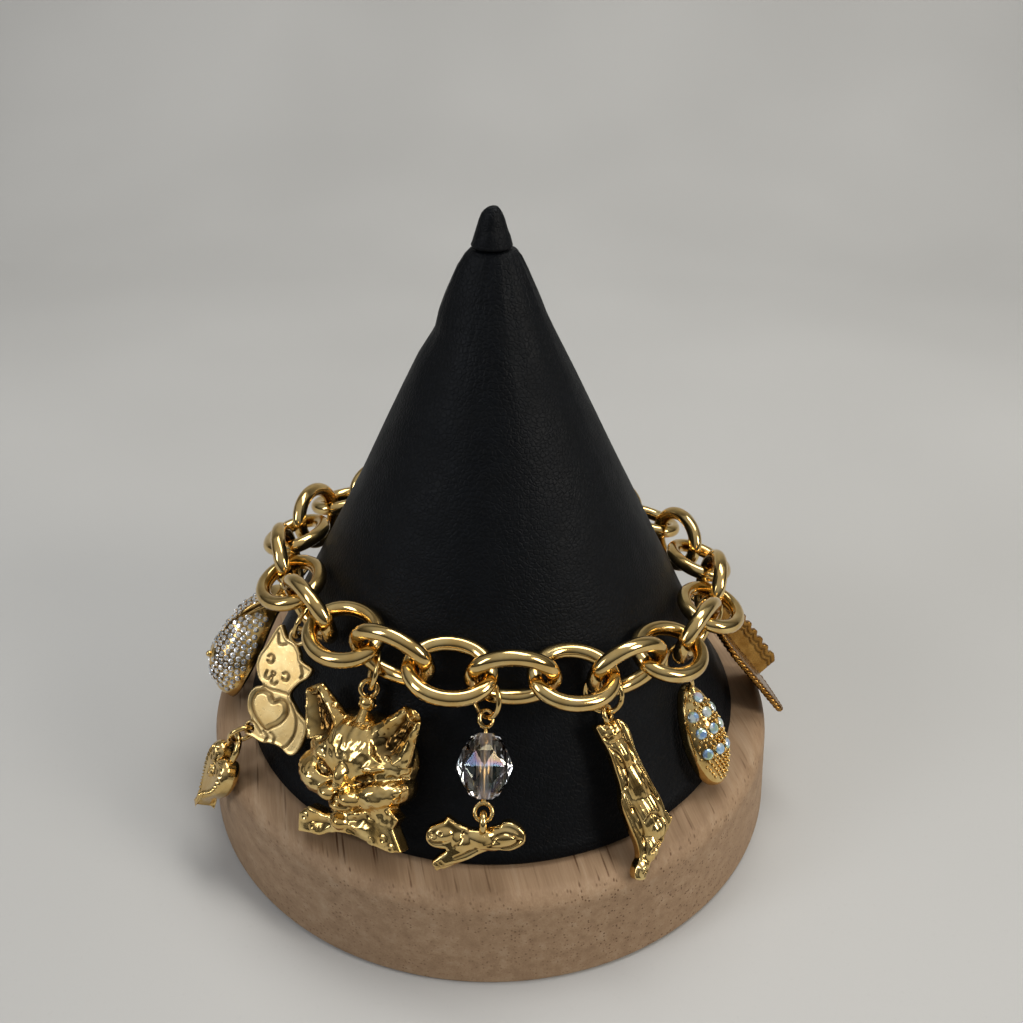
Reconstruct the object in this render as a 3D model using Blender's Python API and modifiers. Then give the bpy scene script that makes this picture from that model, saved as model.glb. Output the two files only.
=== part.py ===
"""A gold charm bracelet laid round a leather covered display cone on a bamboo base.

Metres, +Z up. The origin is the centre of the base's underside and -Y is the front.
Azimuths are measured from the front, positive towards +X, in degrees.
"""
import math

import bmesh
import bpy
import numpy as np
from mathutils import Matrix, Vector

# Display stand
BASE_THICKNESS = 0.0146
BASE_MARGIN = 0.0056
BASE_FLARE = 0.0011
BASE_EDGE_RADIUS = 0.0024
BASE_FOOT_EASE = 0.0008
CONE_RADIUS = 0.0380
CONE_HEIGHT = 0.0749
CONE_HEM_RADIUS = 0.0006
TIP_HEIGHT = 0.0046
TIP_OVERHANG = 0.00045
TIP_SHIFT = 0.00065
TIP_RISE = 0.0006
LEATHER_BULGE = 0.0016
SLACK_SPREAD = 50.0
STAND_GAP = 0.0002

# Chain: cable links that alternate between two leans, and one clasp behind the cone
LINK_COUNT = 24
FIRST_LINK = -5
LINK_WIDTH = 0.0103
LINK_WIRE = 0.0021
LINK_SLACK = 0.0003
UPRIGHT_LEAN = 76.0
FLAT_LEAN = 164.0
CHAIN_HEIGHT = 0.02174
CHAIN_TILT_SIDE = -4.540
CHAIN_TILT_FRONT = -7.136
CHAIN_START_PITCHES = -5.5987
CLASP_PITCHES = 2.5807
CLASP_BARREL = 0.0030
CLASP_HOOK_SHARE = 0.52
CLASP_WIDTH_SHARE = 0.90
CLASP_PLAY = 0.0004
CLEARANCE = 0.0003

# Jump rings and the small loops cast or soldered on the charms
RING_SIZE = 0.0050
RING_WIRE = 0.0007
RING_DROP = 0.0006
RING_STAND_OFF = 0.0002
LOOP_SIZE = 0.0022
LOOP_WIRE = 0.0007
RING_PLAY = 0.00022
BAR_ANGLE = 35.0
RING_TURN = 50.0

# Charms
HEAD_WIDTH = 0.0184
HEAD_HEIGHT = 0.0130
HEAD_DEPTH = 0.0075
HEAD_ROLL = 7.0
HEAD_SHIFT = -0.0002
HEAD_WALL = 0.0012
BALL_SIZE = 0.0022
PLATE_HEIGHT = 0.0165
PLATE_WIDTH = 0.0108
PLATE_THICKNESS = 0.0009
PLATE_YAW = 30.0
PLATE_ROLL = 12.0
PLATE_LEAN = 10.0
LOCK_HEIGHT = 0.0102
LOCK_WIDTH = 0.0084
LOCK_THICKNESS = 0.0028
SHACKLE_WIRE = 0.0009
LOCK_RING_RADIUS = 0.0018
LOCK_SHIFT = 4.0
LOCK_TURN = -14.0
LOCK_RING_TILT = 15.0
LOCK_LEAN = 29.0
BEAD_WIDTH = 0.0070
BEAD_HEIGHT = 0.0080
BEAD_BORE = 0.0012
PIN_WIRE = 0.0006
PIN_GAP = 0.0002
BEAD_LEAN = 17.0
MOUSER_LENGTH = 0.0128
MOUSER_THICKNESS = 0.0030
MOUSER_LOOP_RADIUS = 0.0011
CLIMBER_LENGTH = 0.0205
CLIMBER_LEAN = 8.0
CLIMBER_THICKNESS = 0.0034
EGG_WIDTH = 0.0070
EGG_HEIGHT = 0.0150
EGG_DEPTH = 0.0033
EGG_WALL = 0.0010
EGG_LEAN = 9.0
EGG_YAW = -14.0
EGG_ROLL = -10.0
STONE_SIZE = 0.0016
FISH_LENGTH = 0.0193
FISH_WIDTH = 0.0100
FISH_DEPTH = 0.0062
FISH_YAW = 8.0
FISH_ROLL = 12.0
FISH_LEAN = 6.0
FISH_WALL = 0.0008
PLAQUE_HEIGHT = 0.0158
PLAQUE_WIDTH = 0.0100
PLAQUE_THICKNESS = 0.0009
ROPE_SIZE = 0.0011
PLAQUE_LEAN = 12.0
PLAQUE_YAW = 15.0
WAVE_HEIGHT = 0.0165
WAVE_WIDTH = 0.0050
WAVE_YAW = -75.0
WAVE_ROLL = 9.0

# Facets of the round forms
STAND_FACETS = 48
LINK_POINTS = 14
RING_POINTS = 12
WIRE_SIDES = 6

CONE_SLOPE = CONE_RADIUS / CONE_HEIGHT
CONE_ANGLE = math.atan(CONE_SLOPE)
CONE_FOOT = BASE_THICKNESS
BASE_TOP_RADIUS = CONE_RADIUS + BASE_MARGIN
BASE_FOOT_RADIUS = BASE_TOP_RADIUS + BASE_FLARE
LINK_HALF_WIDTH = (LINK_WIDTH - LINK_WIRE) / 2
RING_RADIUS = RING_SIZE / 2
LOOP_RADIUS = LOOP_SIZE / 2
EYE_RADIUS = LOOP_RADIUS - PIN_WIRE * 0.05

GOLD = (0.66, 0.43, 0.13)
SATIN_GOLD = (0.52, 0.37, 0.16)
DARK_GOLD = (0.30, 0.17, 0.05)


def clear_scene():
    """Remove what the file holds and make the two collections."""
    for thing in list(bpy.data.objects):
        bpy.data.objects.remove(thing, do_unlink=True)
    made = []
    for name in ("charm_bracelet", "cutters"):
        collection = bpy.data.collections.new(name)
        bpy.context.scene.collection.children.link(collection)
        made.append(collection)
    return made


PARTS, CUTTERS = clear_scene()


def finish_material(name, colour, metallic, roughness, alpha=1.0):
    """A Principled material for one piece."""
    material = bpy.data.materials.new(name)
    material.use_nodes = True
    shader = material.node_tree.nodes["Principled BSDF"]
    shader.inputs["Base Color"].default_value = (*colour, 1.0)
    shader.inputs["Metallic"].default_value = metallic
    shader.inputs["Roughness"].default_value = roughness
    shader.inputs["Alpha"].default_value = alpha
    return material


def place_piece(name, mesh, matrix, colour, metallic=1.0, roughness=0.25, alpha=1.0):
    """Put a mesh in the model as one named piece with its own material."""
    piece = bpy.data.objects.new(name, mesh)
    PARTS.objects.link(piece)
    piece.matrix_world = matrix
    if not mesh.materials:
        mesh.materials.append(None)
    piece.material_slots[0].link = "OBJECT"
    piece.material_slots[0].material = finish_material(name, colour, metallic, roughness, alpha)
    mesh.shade_smooth()
    mesh.set_sharp_from_angle(angle=math.radians(40))
    return piece


def scratch_object(mesh, matrix=Matrix.Identity(4)):
    """A helper solid, kept out of the model."""
    helper = bpy.data.objects.new("helper", mesh)
    CUTTERS.objects.link(helper)
    helper.matrix_world = matrix
    helper.hide_render = True
    helper.display_type = "WIRE"
    return helper


def evaluated_mesh(thing):
    """The mesh that an object's modifiers or curve settings make, in the object's own frame."""
    bpy.context.view_layer.update()
    graph = bpy.context.evaluated_depsgraph_get()
    mesh = bpy.data.meshes.new_from_object(thing.evaluated_get(graph), depsgraph=graph)
    return mesh


def welded(mesh, distance=0.000002):
    """Weld the loose caps of a mesh that came from a curve."""
    bm = bmesh.new()
    bm.from_mesh(mesh)
    bmesh.ops.remove_doubles(bm, verts=bm.verts, dist=distance)
    bmesh.ops.recalc_face_normals(bm, faces=bm.faces)
    bm.to_mesh(mesh)
    bm.free()
    return mesh


def join_solids(meshes):
    """Union of closed meshes that share one frame."""
    base = scratch_object(meshes[0])
    for mesh in meshes[1:]:
        other = scratch_object(mesh)
        union = base.modifiers.new("union", "BOOLEAN")
        union.operation = "UNION"
        union.solver = "EXACT"
        union.object = other
    return tidy_mesh(evaluated_mesh(base))


def cut_solid(mesh, cutter_meshes):
    """A closed mesh less the cutters, in one shared frame."""
    base = scratch_object(mesh)
    for cutter_mesh in cutter_meshes:
        cutter = scratch_object(cutter_mesh)
        cut = base.modifiers.new("cut", "BOOLEAN")
        cut.operation = "DIFFERENCE"
        cut.solver = "EXACT"
        cut.object = cutter
    return tidy_mesh(evaluated_mesh(base))


def tidy_mesh(mesh):
    """Merge the slivers that a union or cut leaves along its seam."""
    bm = bmesh.new()
    bm.from_mesh(mesh)
    bmesh.ops.remove_doubles(bm, verts=bm.verts, dist=0.00001)
    bmesh.ops.dissolve_degenerate(bm, edges=bm.edges, dist=0.00001)
    bm.to_mesh(mesh)
    bm.free()
    return mesh


def moved(mesh, matrix):
    """A copy of a mesh, carried into another frame."""
    copy = mesh.copy()
    copy.transform(matrix)
    return copy


def turned(profile, facets=STAND_FACETS):
    """A solid of revolution from (radius, height) points that run down its outer side."""
    mesh = bpy.data.meshes.new("profile")
    points = [(radius, 0.0, height) for radius, height in profile]
    mesh.from_pydata(points, [(i, i + 1) for i in range(len(points) - 1)], [])
    helper = scratch_object(mesh)
    screw = helper.modifiers.new("turn", "SCREW")
    screw.steps = facets
    screw.render_steps = facets
    screw.use_merge_vertices = True
    screw.merge_threshold = 0.00001
    screw.use_normal_calculate = True
    return welded(evaluated_mesh(helper))


def wire_loop(points, wire, closed=True):
    """Round wire along points, closed into a ring or with filled caps."""
    curve = bpy.data.curves.new("wire", "CURVE")
    curve.dimensions = "3D"
    curve.bevel_depth = wire / 2
    curve.bevel_resolution = (WIRE_SIDES - 4) // 2
    curve.use_fill_caps = True
    spline = curve.splines.new("POLY")
    spline.points.add(len(points) - 1)
    for target, point in zip(spline.points, points):
        target.co = (*point, 1.0)
    spline.use_cyclic_u = closed
    helper = bpy.data.objects.new("wire", curve)
    CUTTERS.objects.link(helper)
    mesh = welded(evaluated_mesh(helper))
    bpy.data.objects.remove(helper)
    return mesh


def oval(half_length, half_width, wire, count):
    """A closed oval of wire in the XZ plane, long in X."""
    turns = [2 * math.pi * i / count for i in range(count)]
    return wire_loop([(half_length * math.cos(t), 0, half_width * math.sin(t)) for t in turns], wire)


def flat_solid(outline, thickness, edge=0.0):
    """A flat plate in the XZ plane from an (x, z) outline, its front at -Y, with eased edges."""
    curve = bpy.data.curves.new("outline", "CURVE")
    curve.dimensions = "2D"
    curve.fill_mode = "BOTH"
    curve.extrude = thickness / 2 - edge
    curve.bevel_depth = edge
    curve.bevel_resolution = 0
    curve.offset = -edge
    spline = curve.splines.new("POLY")
    spline.points.add(len(outline) - 1)
    for target, (x, z) in zip(spline.points, outline):
        target.co = (x, z, 0.0, 1.0)
    spline.use_cyclic_u = True
    helper = bpy.data.objects.new("outline", curve)
    CUTTERS.objects.link(helper)
    mesh = welded(evaluated_mesh(helper))
    bpy.data.objects.remove(helper)
    mesh.transform(Matrix.Rotation(math.pi / 2, 4, "X"))
    return mesh


def smooth_outline(points, steps):
    """A closed Catmull-Rom curve through (x, z) points, with steps pieces for each point."""
    line = []
    count = len(points)
    for i in range(count):
        corners = [Vector(points[(i + k - 1) % count]) for k in range(4)]
        for step in range(steps):
            t = step / steps
            a = corners[1] * 2
            b = (corners[2] - corners[0]) * t
            c = (corners[0] * 2 - corners[1] * 5 + corners[2] * 4 - corners[3]) * t * t
            d = (corners[1] * 3 - corners[0] - corners[2] * 3 + corners[3]) * t ** 3
            line.append(tuple((a + b + c + d) / 2))
    return line


def ellipsoid(centre, radii, turn=(0, 0, 0), segments=12, rings=8):
    """A closed ellipsoid, turned by degrees about X, Y and Z."""
    bm = bmesh.new()
    bmesh.ops.create_uvsphere(bm, u_segments=segments, v_segments=rings, radius=1.0)
    angles = [math.radians(a) for a in turn]
    matrix = (Matrix.Translation(centre) @ Matrix.Rotation(angles[2], 4, "Z")
              @ Matrix.Rotation(angles[1], 4, "Y") @ Matrix.Rotation(angles[0], 4, "X")
              @ Matrix.Diagonal((*radii, 1.0)))
    bmesh.ops.transform(bm, matrix=matrix, verts=bm.verts)
    mesh = bpy.data.meshes.new("ellipsoid")
    bm.to_mesh(mesh)
    bm.free()
    return mesh


def taper(start, end, start_radius, end_radius, squash=1.0, sides=10):
    """A closed round bar that tapers from one point to another, flattened along Y by squash."""
    start = Vector(start)
    end = Vector(end)
    bm = bmesh.new()
    bmesh.ops.create_cone(bm, cap_ends=True, segments=sides, radius1=start_radius,
                          radius2=end_radius, depth=(end - start).length)
    turn = (end - start).to_track_quat("Z", "Y").to_matrix().to_4x4()
    matrix = Matrix.Translation((start + end) / 2) @ Matrix.Diagonal((1, squash, 1, 1)) @ turn
    bmesh.ops.transform(bm, matrix=matrix, verts=bm.verts)
    mesh = bpy.data.meshes.new("taper")
    bm.to_mesh(mesh)
    bm.free()
    return mesh


def cast_together(meshes, grain, triangles):
    """Melt overlapping solids into one casting and bring it down to a number of triangles."""
    bm = bmesh.new()
    for mesh in meshes:
        bm.from_mesh(mesh)
    joined = bpy.data.meshes.new("casting")
    bm.to_mesh(joined)
    bm.free()
    helper = scratch_object(joined)
    remesh = helper.modifiers.new("melt", "REMESH")
    remesh.mode = "VOXEL"
    remesh.voxel_size = grain
    remesh.adaptivity = 0.0
    soften = helper.modifiers.new("soften", "SMOOTH")
    soften.factor = 0.5
    soften.iterations = 2
    fine = evaluated_mesh(helper)
    fine.calc_loop_triangles()
    reduce = helper.modifiers.new("reduce", "DECIMATE")
    reduce.ratio = min(1.0, triangles / len(fine.loop_triangles))
    return tidy_mesh(evaluated_mesh(helper))


def loft(sections):
    """A closed solid through sections of equally many points, capped at both ends."""
    bm = bmesh.new()
    rows = [[bm.verts.new(point) for point in section] for section in sections]
    count = len(rows[0])
    for lower, upper in zip(rows, rows[1:]):
        for i in range(count):
            bm.faces.new((lower[i], lower[(i + 1) % count], upper[(i + 1) % count], upper[i]))
    bm.faces.new(reversed(rows[0]))
    bm.faces.new(rows[-1])
    bmesh.ops.recalc_face_normals(bm, faces=bm.faces)
    mesh = bpy.data.meshes.new("loft")
    bm.to_mesh(mesh)
    bm.free()
    return mesh


def domed_shell(outline, centre, depth, wall):
    """A hollow dome over an (x, z) outline: proud towards -Y, open and flat at its back."""
    outer_steps = ((0.16, 0.99), (0.50, 0.86), (0.78, 0.60), (0.94, 0.30), (1.0, 0.0))
    centre = Vector(centre)
    rim = [Vector(point) - centre for point in outline]
    reach = sum(point.length for point in rim) / len(rim)
    inner_share = 1 - wall / reach

    def ring(share, height):
        points = [centre + point * share for point in rim]
        return [(x, -height, z) for x, z in (tuple(point) for point in points)]

    outer = [ring(share, depth * height) for share, height in outer_steps]
    inner = [ring(share * inner_share, (depth - wall) * height)
             for share, height in reversed(outer_steps[:-1])]
    inner.insert(0, ring(inner_share, 0.0))
    return loft(outer + inner)


# Frames on the cone and along the chain
def cone_frame(azimuth):
    """Unit vectors at an azimuth in radians: to the right, out of the cone's side, up the slope."""
    radial = Vector((math.sin(azimuth), -math.cos(azimuth), 0))
    right = Vector((math.cos(azimuth), math.sin(azimuth), 0))
    up = Vector((0, 0, 1))
    out = math.cos(CONE_ANGLE) * radial + math.sin(CONE_ANGLE) * up
    slope = math.cos(CONE_ANGLE) * up - math.sin(CONE_ANGLE) * radial
    return right, out, slope


def chain_stand_off():
    """Level distance from the cone's side to the chain's middle: the nearest bar just clears."""
    reach = []
    for lean in (UPRIGHT_LEAN, FLAT_LEAN):
        side = -1 if lean < 90 else 1
        level = side * math.cos(math.radians(lean)) * LINK_HALF_WIDTH
        height = side * math.sin(math.radians(lean)) * LINK_HALF_WIDTH
        seat = (LINK_WIRE / 2 + CLEARANCE) / math.cos(CONE_ANGLE)
        reach.append(seat - level - height * CONE_SLOPE)
    return max(reach)


def chain_point(azimuth):
    """The point of the chain's middle line at an azimuth in radians."""
    tilt = (math.tan(math.radians(CHAIN_TILT_SIDE)) * math.sin(azimuth)
            - math.tan(math.radians(CHAIN_TILT_FRONT)) * math.cos(azimuth))
    level = CONE_RADIUS + chain_stand_off() - CHAIN_HEIGHT * CONE_SLOPE
    radius = level / (1 + CONE_SLOPE * tilt)
    height = CONE_FOOT + CHAIN_HEIGHT + radius * tilt
    return Vector((radius * math.sin(azimuth), -radius * math.cos(azimuth), height))


def measure_chain():
    """Azimuths and lengths along the chain's middle line, three times round from the front."""
    azimuths = np.linspace(-3 * math.pi, 3 * math.pi, 4321)
    points = np.array([chain_point(a) for a in azimuths])
    steps = np.linalg.norm(np.diff(points, axis=0), axis=1)
    lengths = np.concatenate([[0.0], np.cumsum(steps)])
    lengths -= np.interp(0.0, azimuths, lengths)
    once_round = np.interp(2 * math.pi, azimuths, lengths)
    return azimuths, lengths, once_round


AZIMUTHS, LENGTHS, CHAIN_LENGTH = measure_chain()

# The links share what the clasp leaves of the way round, so the chain always closes.
LINK_PITCH = CHAIN_LENGTH / (LINK_COUNT - 1 + CLASP_PITCHES)
LINK_LENGTH = LINK_PITCH + 2 * LINK_WIRE + LINK_SLACK
LINK_HALF_LENGTH = (LINK_LENGTH - LINK_WIRE) / 2
CHAIN_START = CHAIN_START_PITCHES * LINK_PITCH


def chain_frame(distance, lean):
    """Middle, direction along and direction across of a link, a distance along from the front."""
    azimuth = float(np.interp(distance, LENGTHS, AZIMUTHS))
    middle = chain_point(azimuth)
    along = (chain_point(azimuth + 0.0001) - chain_point(azimuth - 0.0001)).normalized()
    radial = Vector((math.sin(azimuth), -math.cos(azimuth), 0))
    radial = (radial - along * radial.dot(along)).normalized()
    up = radial.cross(along)
    if up.z < 0:
        up = -up
    across = math.cos(math.radians(lean)) * radial + math.sin(math.radians(lean)) * up
    return middle, along, across


def link_frame(number):
    """Frame of a link by its number; even links stand up, odd ones lie against the cone."""
    lean = UPRIGHT_LEAN if number % 2 == 0 else FLAT_LEAN
    return chain_frame(CHAIN_START + number * LINK_PITCH, lean)


def frame_matrix(origin, x_axis, z_axis):
    """A placing matrix from an origin and two square axes."""
    y_axis = z_axis.cross(x_axis)
    matrix = Matrix((x_axis, y_axis, z_axis)).transposed().to_4x4()
    matrix.translation = origin
    return matrix


def make_stand():
    """The bamboo disc and the leather covered cone with its folded tip."""
    quarter = [math.radians(a) for a in (0, 30, 60, 90)]
    edge = BASE_EDGE_RADIUS
    ease = BASE_FOOT_EASE
    profile = [(0.0, BASE_THICKNESS)]
    for a in quarter:
        profile.append((BASE_TOP_RADIUS - edge + edge * math.sin(a),
                        BASE_THICKNESS - edge + edge * math.cos(a)))
    for a in quarter:
        profile.append((BASE_FOOT_RADIUS - ease + ease * math.cos(a), ease - ease * math.sin(a)))
    profile.append((0.0, 0.0))
    place_piece("bamboo_base", turned(profile), Matrix.Identity(4), (0.35, 0.24, 0.16), 0.0, 0.55)

    split = CONE_HEIGHT - TIP_HEIGHT
    foot = CONE_FOOT + STAND_GAP
    top = CONE_FOOT + split
    hem = CONE_HEM_RADIUS
    neck = TIP_HEIGHT * CONE_SLOPE
    side = top - foot - 3 * hem
    # Columns: share of the way down the side, and how far the slack leather stands out
    # on the left and on the right, as shares of its greatest bulge.
    slack = ((0.0, 0.80, 0.25), (0.035, 0.98, 0.28), (0.086, 0.84, 0.19), (0.123, 0.62, 0.03),
             (0.16, 0.20, 0.0), (0.218, 0.47, 0.0), (0.31, 0.34, 0.0), (0.50, 0.06, 0.0))
    profile = [(0.0, top)]
    profile += [(neck + side * share * CONE_SLOPE, top - side * share) for share, left, right in slack]
    profile += [(neck + side * CONE_SLOPE, foot + 3 * hem), (CONE_RADIUS, foot + hem),
                (CONE_RADIUS - hem, foot), (0.0, foot)]
    cone = turned(profile)
    heights = [row[0] for row in slack] + [1.0]
    for point in cone.vertices:
        radius = math.hypot(point.co.x, point.co.y)
        if radius < neck / 2 or point.co.z < foot + 2 * hem:
            continue
        share = (top - point.co.z) / side
        bulge = 0.0
        for column, middle in ((1, -90), (2, 90)):
            away = math.degrees(math.atan2(point.co.x, -point.co.y)) - middle
            away = (away + 180) % 360 - 180
            reach = float(np.interp(share, heights, [row[column] for row in slack] + [0.0]))
            bulge += LEATHER_BULGE * reach * math.exp(-(away / SLACK_SPREAD) ** 2)
        point.co.x *= (radius + bulge) / radius
        point.co.y *= (radius + bulge) / radius
    place_piece("leather_cone", cone, Matrix.Identity(4), (0.010, 0.012, 0.014), 0.0, 0.45)

    tip_foot = top + STAND_GAP
    tip_radius = neck + TIP_OVERHANG
    tip_top = TIP_HEIGHT + TIP_RISE
    # Columns: radius and height of the folded tip's rounded side, as shares.
    shape = ((0.0, 1.0), (0.22, 0.97), (0.41, 0.84), (0.58, 0.68), (0.69, 0.50), (0.80, 0.33),
             (0.90, 0.17), (1.0, 0.05), (0.95, 0.0), (0.0, 0.0))
    tip = turned([(radius * tip_radius, height * tip_top) for radius, height in shape], 24)
    place_piece("leather_tip", tip, Matrix.Translation((-TIP_SHIFT, 0, tip_foot)),
                (0.010, 0.012, 0.014), 0.0, 0.45)


def make_chain():
    """The links that show and run behind the cone, and the clasp that closes them."""
    link = oval(LINK_HALF_LENGTH, LINK_HALF_WIDTH, LINK_WIRE, LINK_POINTS)
    for k in range(LINK_COUNT):
        middle, along, across = link_frame(FIRST_LINK + k)
        place_piece(f"link_{k + 1:02d}", link, frame_matrix(middle, along, across), GOLD)

    last = CHAIN_START + (FIRST_LINK + LINK_COUNT - 1) * LINK_PITCH
    first = CHAIN_START + FIRST_LINK * LINK_PITCH + CHAIN_LENGTH
    middle, along, across = chain_frame(last, UPRIGHT_LEAN)
    last_end = middle + along * LINK_HALF_LENGTH
    middle, along, across = chain_frame(first, FLAT_LEAN)
    first_end = middle - along * LINK_HALF_LENGTH
    reach = (first_end - last_end).length / 2 + LINK_WIRE + LINK_SLACK + CLASP_PLAY
    along, across = chain_frame((first + last) / 2, FLAT_LEAN)[1:]
    along = (first_end - last_end).normalized()
    across = (across - along * across.dot(along)).normalized()
    middle = (first_end + last_end) / 2
    hook_half = reach * CLASP_HOOK_SHARE
    eye_half = reach - hook_half
    hook = moved(oval(hook_half, LINK_HALF_WIDTH * CLASP_WIDTH_SHARE, LINK_WIRE, LINK_POINTS),
                 Matrix.Translation((hook_half - reach, 0, 0)))
    eye = moved(oval(eye_half, LINK_HALF_WIDTH * CLASP_WIDTH_SHARE, LINK_WIRE, LINK_POINTS),
                Matrix.Translation((reach - eye_half, 0, 0)) @ Matrix.Rotation(math.pi / 2, 4, "X"))
    joint = 2 * hook_half - reach
    barrel = ellipsoid((joint, 0, 0), (CLASP_BARREL / 2,) * 3, segments=10, rings=6)
    clasp = join_solids([hook, eye, barrel])
    place_piece("clasp", clasp, frame_matrix(middle, along, across), GOLD)


def hang_ring(name, link_number, angle, turn):
    """A jump ring round the lower bar of a link, angle degrees from the bar's middle.

    turn is how far the ring faces sideways from the cone's side, in degrees. Returns the
    point where a charm hangs, in the ring's lower hollow, and the azimuth there.
    """
    middle, along, across = link_frame(link_number)
    angle = math.radians(angle)
    bar = (middle + along * LINK_HALF_LENGTH * math.sin(angle)
           - across * LINK_HALF_WIDTH * math.cos(angle))
    azimuth = math.atan2(bar.x, -bar.y)
    right, outward, slope = cone_frame(azimuth)
    centre = bar - slope * RING_DROP + outward * RING_STAND_OFF
    turn = math.radians(turn)
    facing = math.cos(turn) * outward + math.sin(turn) * right
    sideways = math.cos(turn) * right - math.sin(turn) * outward
    ring = oval(RING_RADIUS, RING_RADIUS, RING_WIRE, RING_POINTS)
    place_piece(name, ring, frame_matrix(centre, sideways, slope), GOLD)
    inside = RING_RADIUS - RING_WIRE - RING_PLAY
    hang = centre - slope * (inside + LOOP_RADIUS)
    return hang, azimuth


def charm_frame(hang, azimuth, yaw=0.0, roll=0.0, lean=0.0):
    """A charm's frame at its loop: X right, Z up the slope, -Y out of the cone's side.

    yaw turns its face to the right, roll turns its foot to the right, lean its foot outward.
    """
    right, outward, slope = cone_frame(azimuth)
    base = frame_matrix(hang, right, slope)
    return (base @ Matrix.Rotation(math.radians(yaw), 4, "Z")
            @ Matrix.Rotation(math.radians(-lean), 4, "X")
            @ Matrix.Rotation(math.radians(-roll), 4, "Y"))


def hanging_loop(ring_turn, yaw=0.0):
    """The small wire loop on a charm, square to the jump ring that carries it."""
    loop = oval(LOOP_RADIUS, LOOP_RADIUS, LOOP_WIRE, 10)
    return moved(loop, Matrix.Rotation(math.radians(90 + ring_turn - yaw), 4, "Z"))


def make_cat_head():
    """A hollow cast cat's head with a bow, on a ball and loop."""
    hang, azimuth = hang_ring("head_ring", 4, -BAR_ANGLE, -RING_TURN)
    wide = HEAD_WIDTH
    high = HEAD_HEIGHT
    deep = HEAD_DEPTH
    back = 0.0020
    crown = -LOOP_RADIUS - BALL_SIZE * 0.72
    # Columns: x, share of depth that the middle stands out, z below the crown, radii
    # in x, depth and z, all as shares of the width, depth and height, and turns about Y.
    forms = (
        (0.00, 0.05, 0.47, 0.45, 0.72, 0.43, 0),
        (-0.24, 0.20, 0.76, 0.24, 0.62, 0.20, 20),
        (0.24, 0.20, 0.76, 0.24, 0.62, 0.20, -20),
        (-0.09, 0.62, 0.84, 0.11, 0.36, 0.11, 0),
        (0.09, 0.62, 0.84, 0.11, 0.36, 0.11, 0),
        (0.00, 0.70, 0.66, 0.06, 0.30, 0.12, 0),
        (0.00, 0.50, 0.95, 0.10, 0.40, 0.10, 0),
        (-0.20, 0.56, 0.56, 0.10, 0.22, 0.07, 15),
        (0.20, 0.56, 0.56, 0.10, 0.22, 0.07, -15),
    )
    solids = []
    for x, out, z, rx, ry, rz, turn in forms:
        centre = (x * wide, back - out * deep, crown - z * high)
        solids.append(ellipsoid(centre, (rx * wide, ry * deep, rz * high), (0, turn, 0)))
    for side in (-1, 1):
        root = (side * 0.26 * wide, back - 0.30 * deep, crown - 0.30 * high)
        point = (side * 0.42 * wide, back - 0.42 * deep, crown + 0.10 * high)
        solids.append(taper(root, point, 0.21 * wide, 0.09 * wide, 0.55, 12))
    # The bow's outline: x, and z below the crown, as shares of the width and height.
    bow = ((0.363, 0.822), (0.466, 0.916), (0.430, 1.020), (0.525, 1.214), (0.415, 1.254),
           (0.251, 1.240), (0.099, 1.212), (-0.016, 1.240), (-0.150, 1.320), (-0.345, 1.369),
           (-0.360, 1.183), (-0.285, 1.078), (-0.136, 1.094), (0.027, 1.024), (0.196, 0.940))
    ribbon = flat_solid([(x * wide, crown - z * high) for x, z in bow], 0.30 * deep)
    ribbon.transform(Matrix.Translation((0, back - 0.45 * deep, 0)))
    solids.append(ribbon)
    chin = (0.03 * wide, back - 0.38 * deep, crown - 1.02 * high)
    solids.append(ellipsoid(chin, (0.20 * wide, 0.20 * deep, 0.09 * high)))
    knot = (0, back - 0.50 * deep, crown - 1.12 * high)
    solids.append(ellipsoid(knot, (0.08 * wide, 0.24 * deep, 0.09 * high)))
    casting = cast_together(solids, 0.00035, 1400)
    hollow_centre = (0, back + 0.02 * deep, crown - 0.50 * high)
    hollow_radii = (0.45 * wide - 2 * HEAD_WALL, 0.77 * deep - 2 * HEAD_WALL, 0.43 * high - 2 * HEAD_WALL)
    hollow = ellipsoid(hollow_centre, hollow_radii)
    ear_wells = []
    for side in (-1, 1):
        root = (side * 0.30 * wide, back - 0.95 * deep, crown - 0.20 * high)
        point = (side * 0.40 * wide, back - 0.74 * deep, crown + 0.04 * high)
        ear_wells.append(taper(root, point, 0.12 * wide, 0.045 * wide, 0.5, 8))
    behind = bpy.data.meshes.new("behind")
    bm = bmesh.new()
    bmesh.ops.create_cube(bm, size=3 * wide)
    bmesh.ops.translate(bm, verts=bm.verts, vec=(0, back + 1.5 * wide, crown - 0.5 * high))
    bm.to_mesh(behind)
    bm.free()
    casting = cut_solid(casting, [behind, hollow] + ear_wells)
    casting.transform(Matrix.Translation((HEAD_SHIFT, 0, 0)))
    ball = ellipsoid((0, 0, -LOOP_RADIUS - BALL_SIZE * 0.35), (BALL_SIZE / 2,) * 3, segments=10, rings=6)
    stem_top = (0, 0, -LOOP_RADIUS - BALL_SIZE * 0.5)
    stem_foot = (HEAD_SHIFT, back - 0.35 * deep, crown - 0.16 * high)
    stem = taper(stem_top, stem_foot, BALL_SIZE * 0.3, BALL_SIZE * 0.42, 1.0, 8)
    casting = join_solids([casting, stem, ball, hanging_loop(-RING_TURN)])
    place_piece("cat_head", casting, charm_frame(hang, azimuth, 0, HEAD_ROLL), GOLD)


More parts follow.
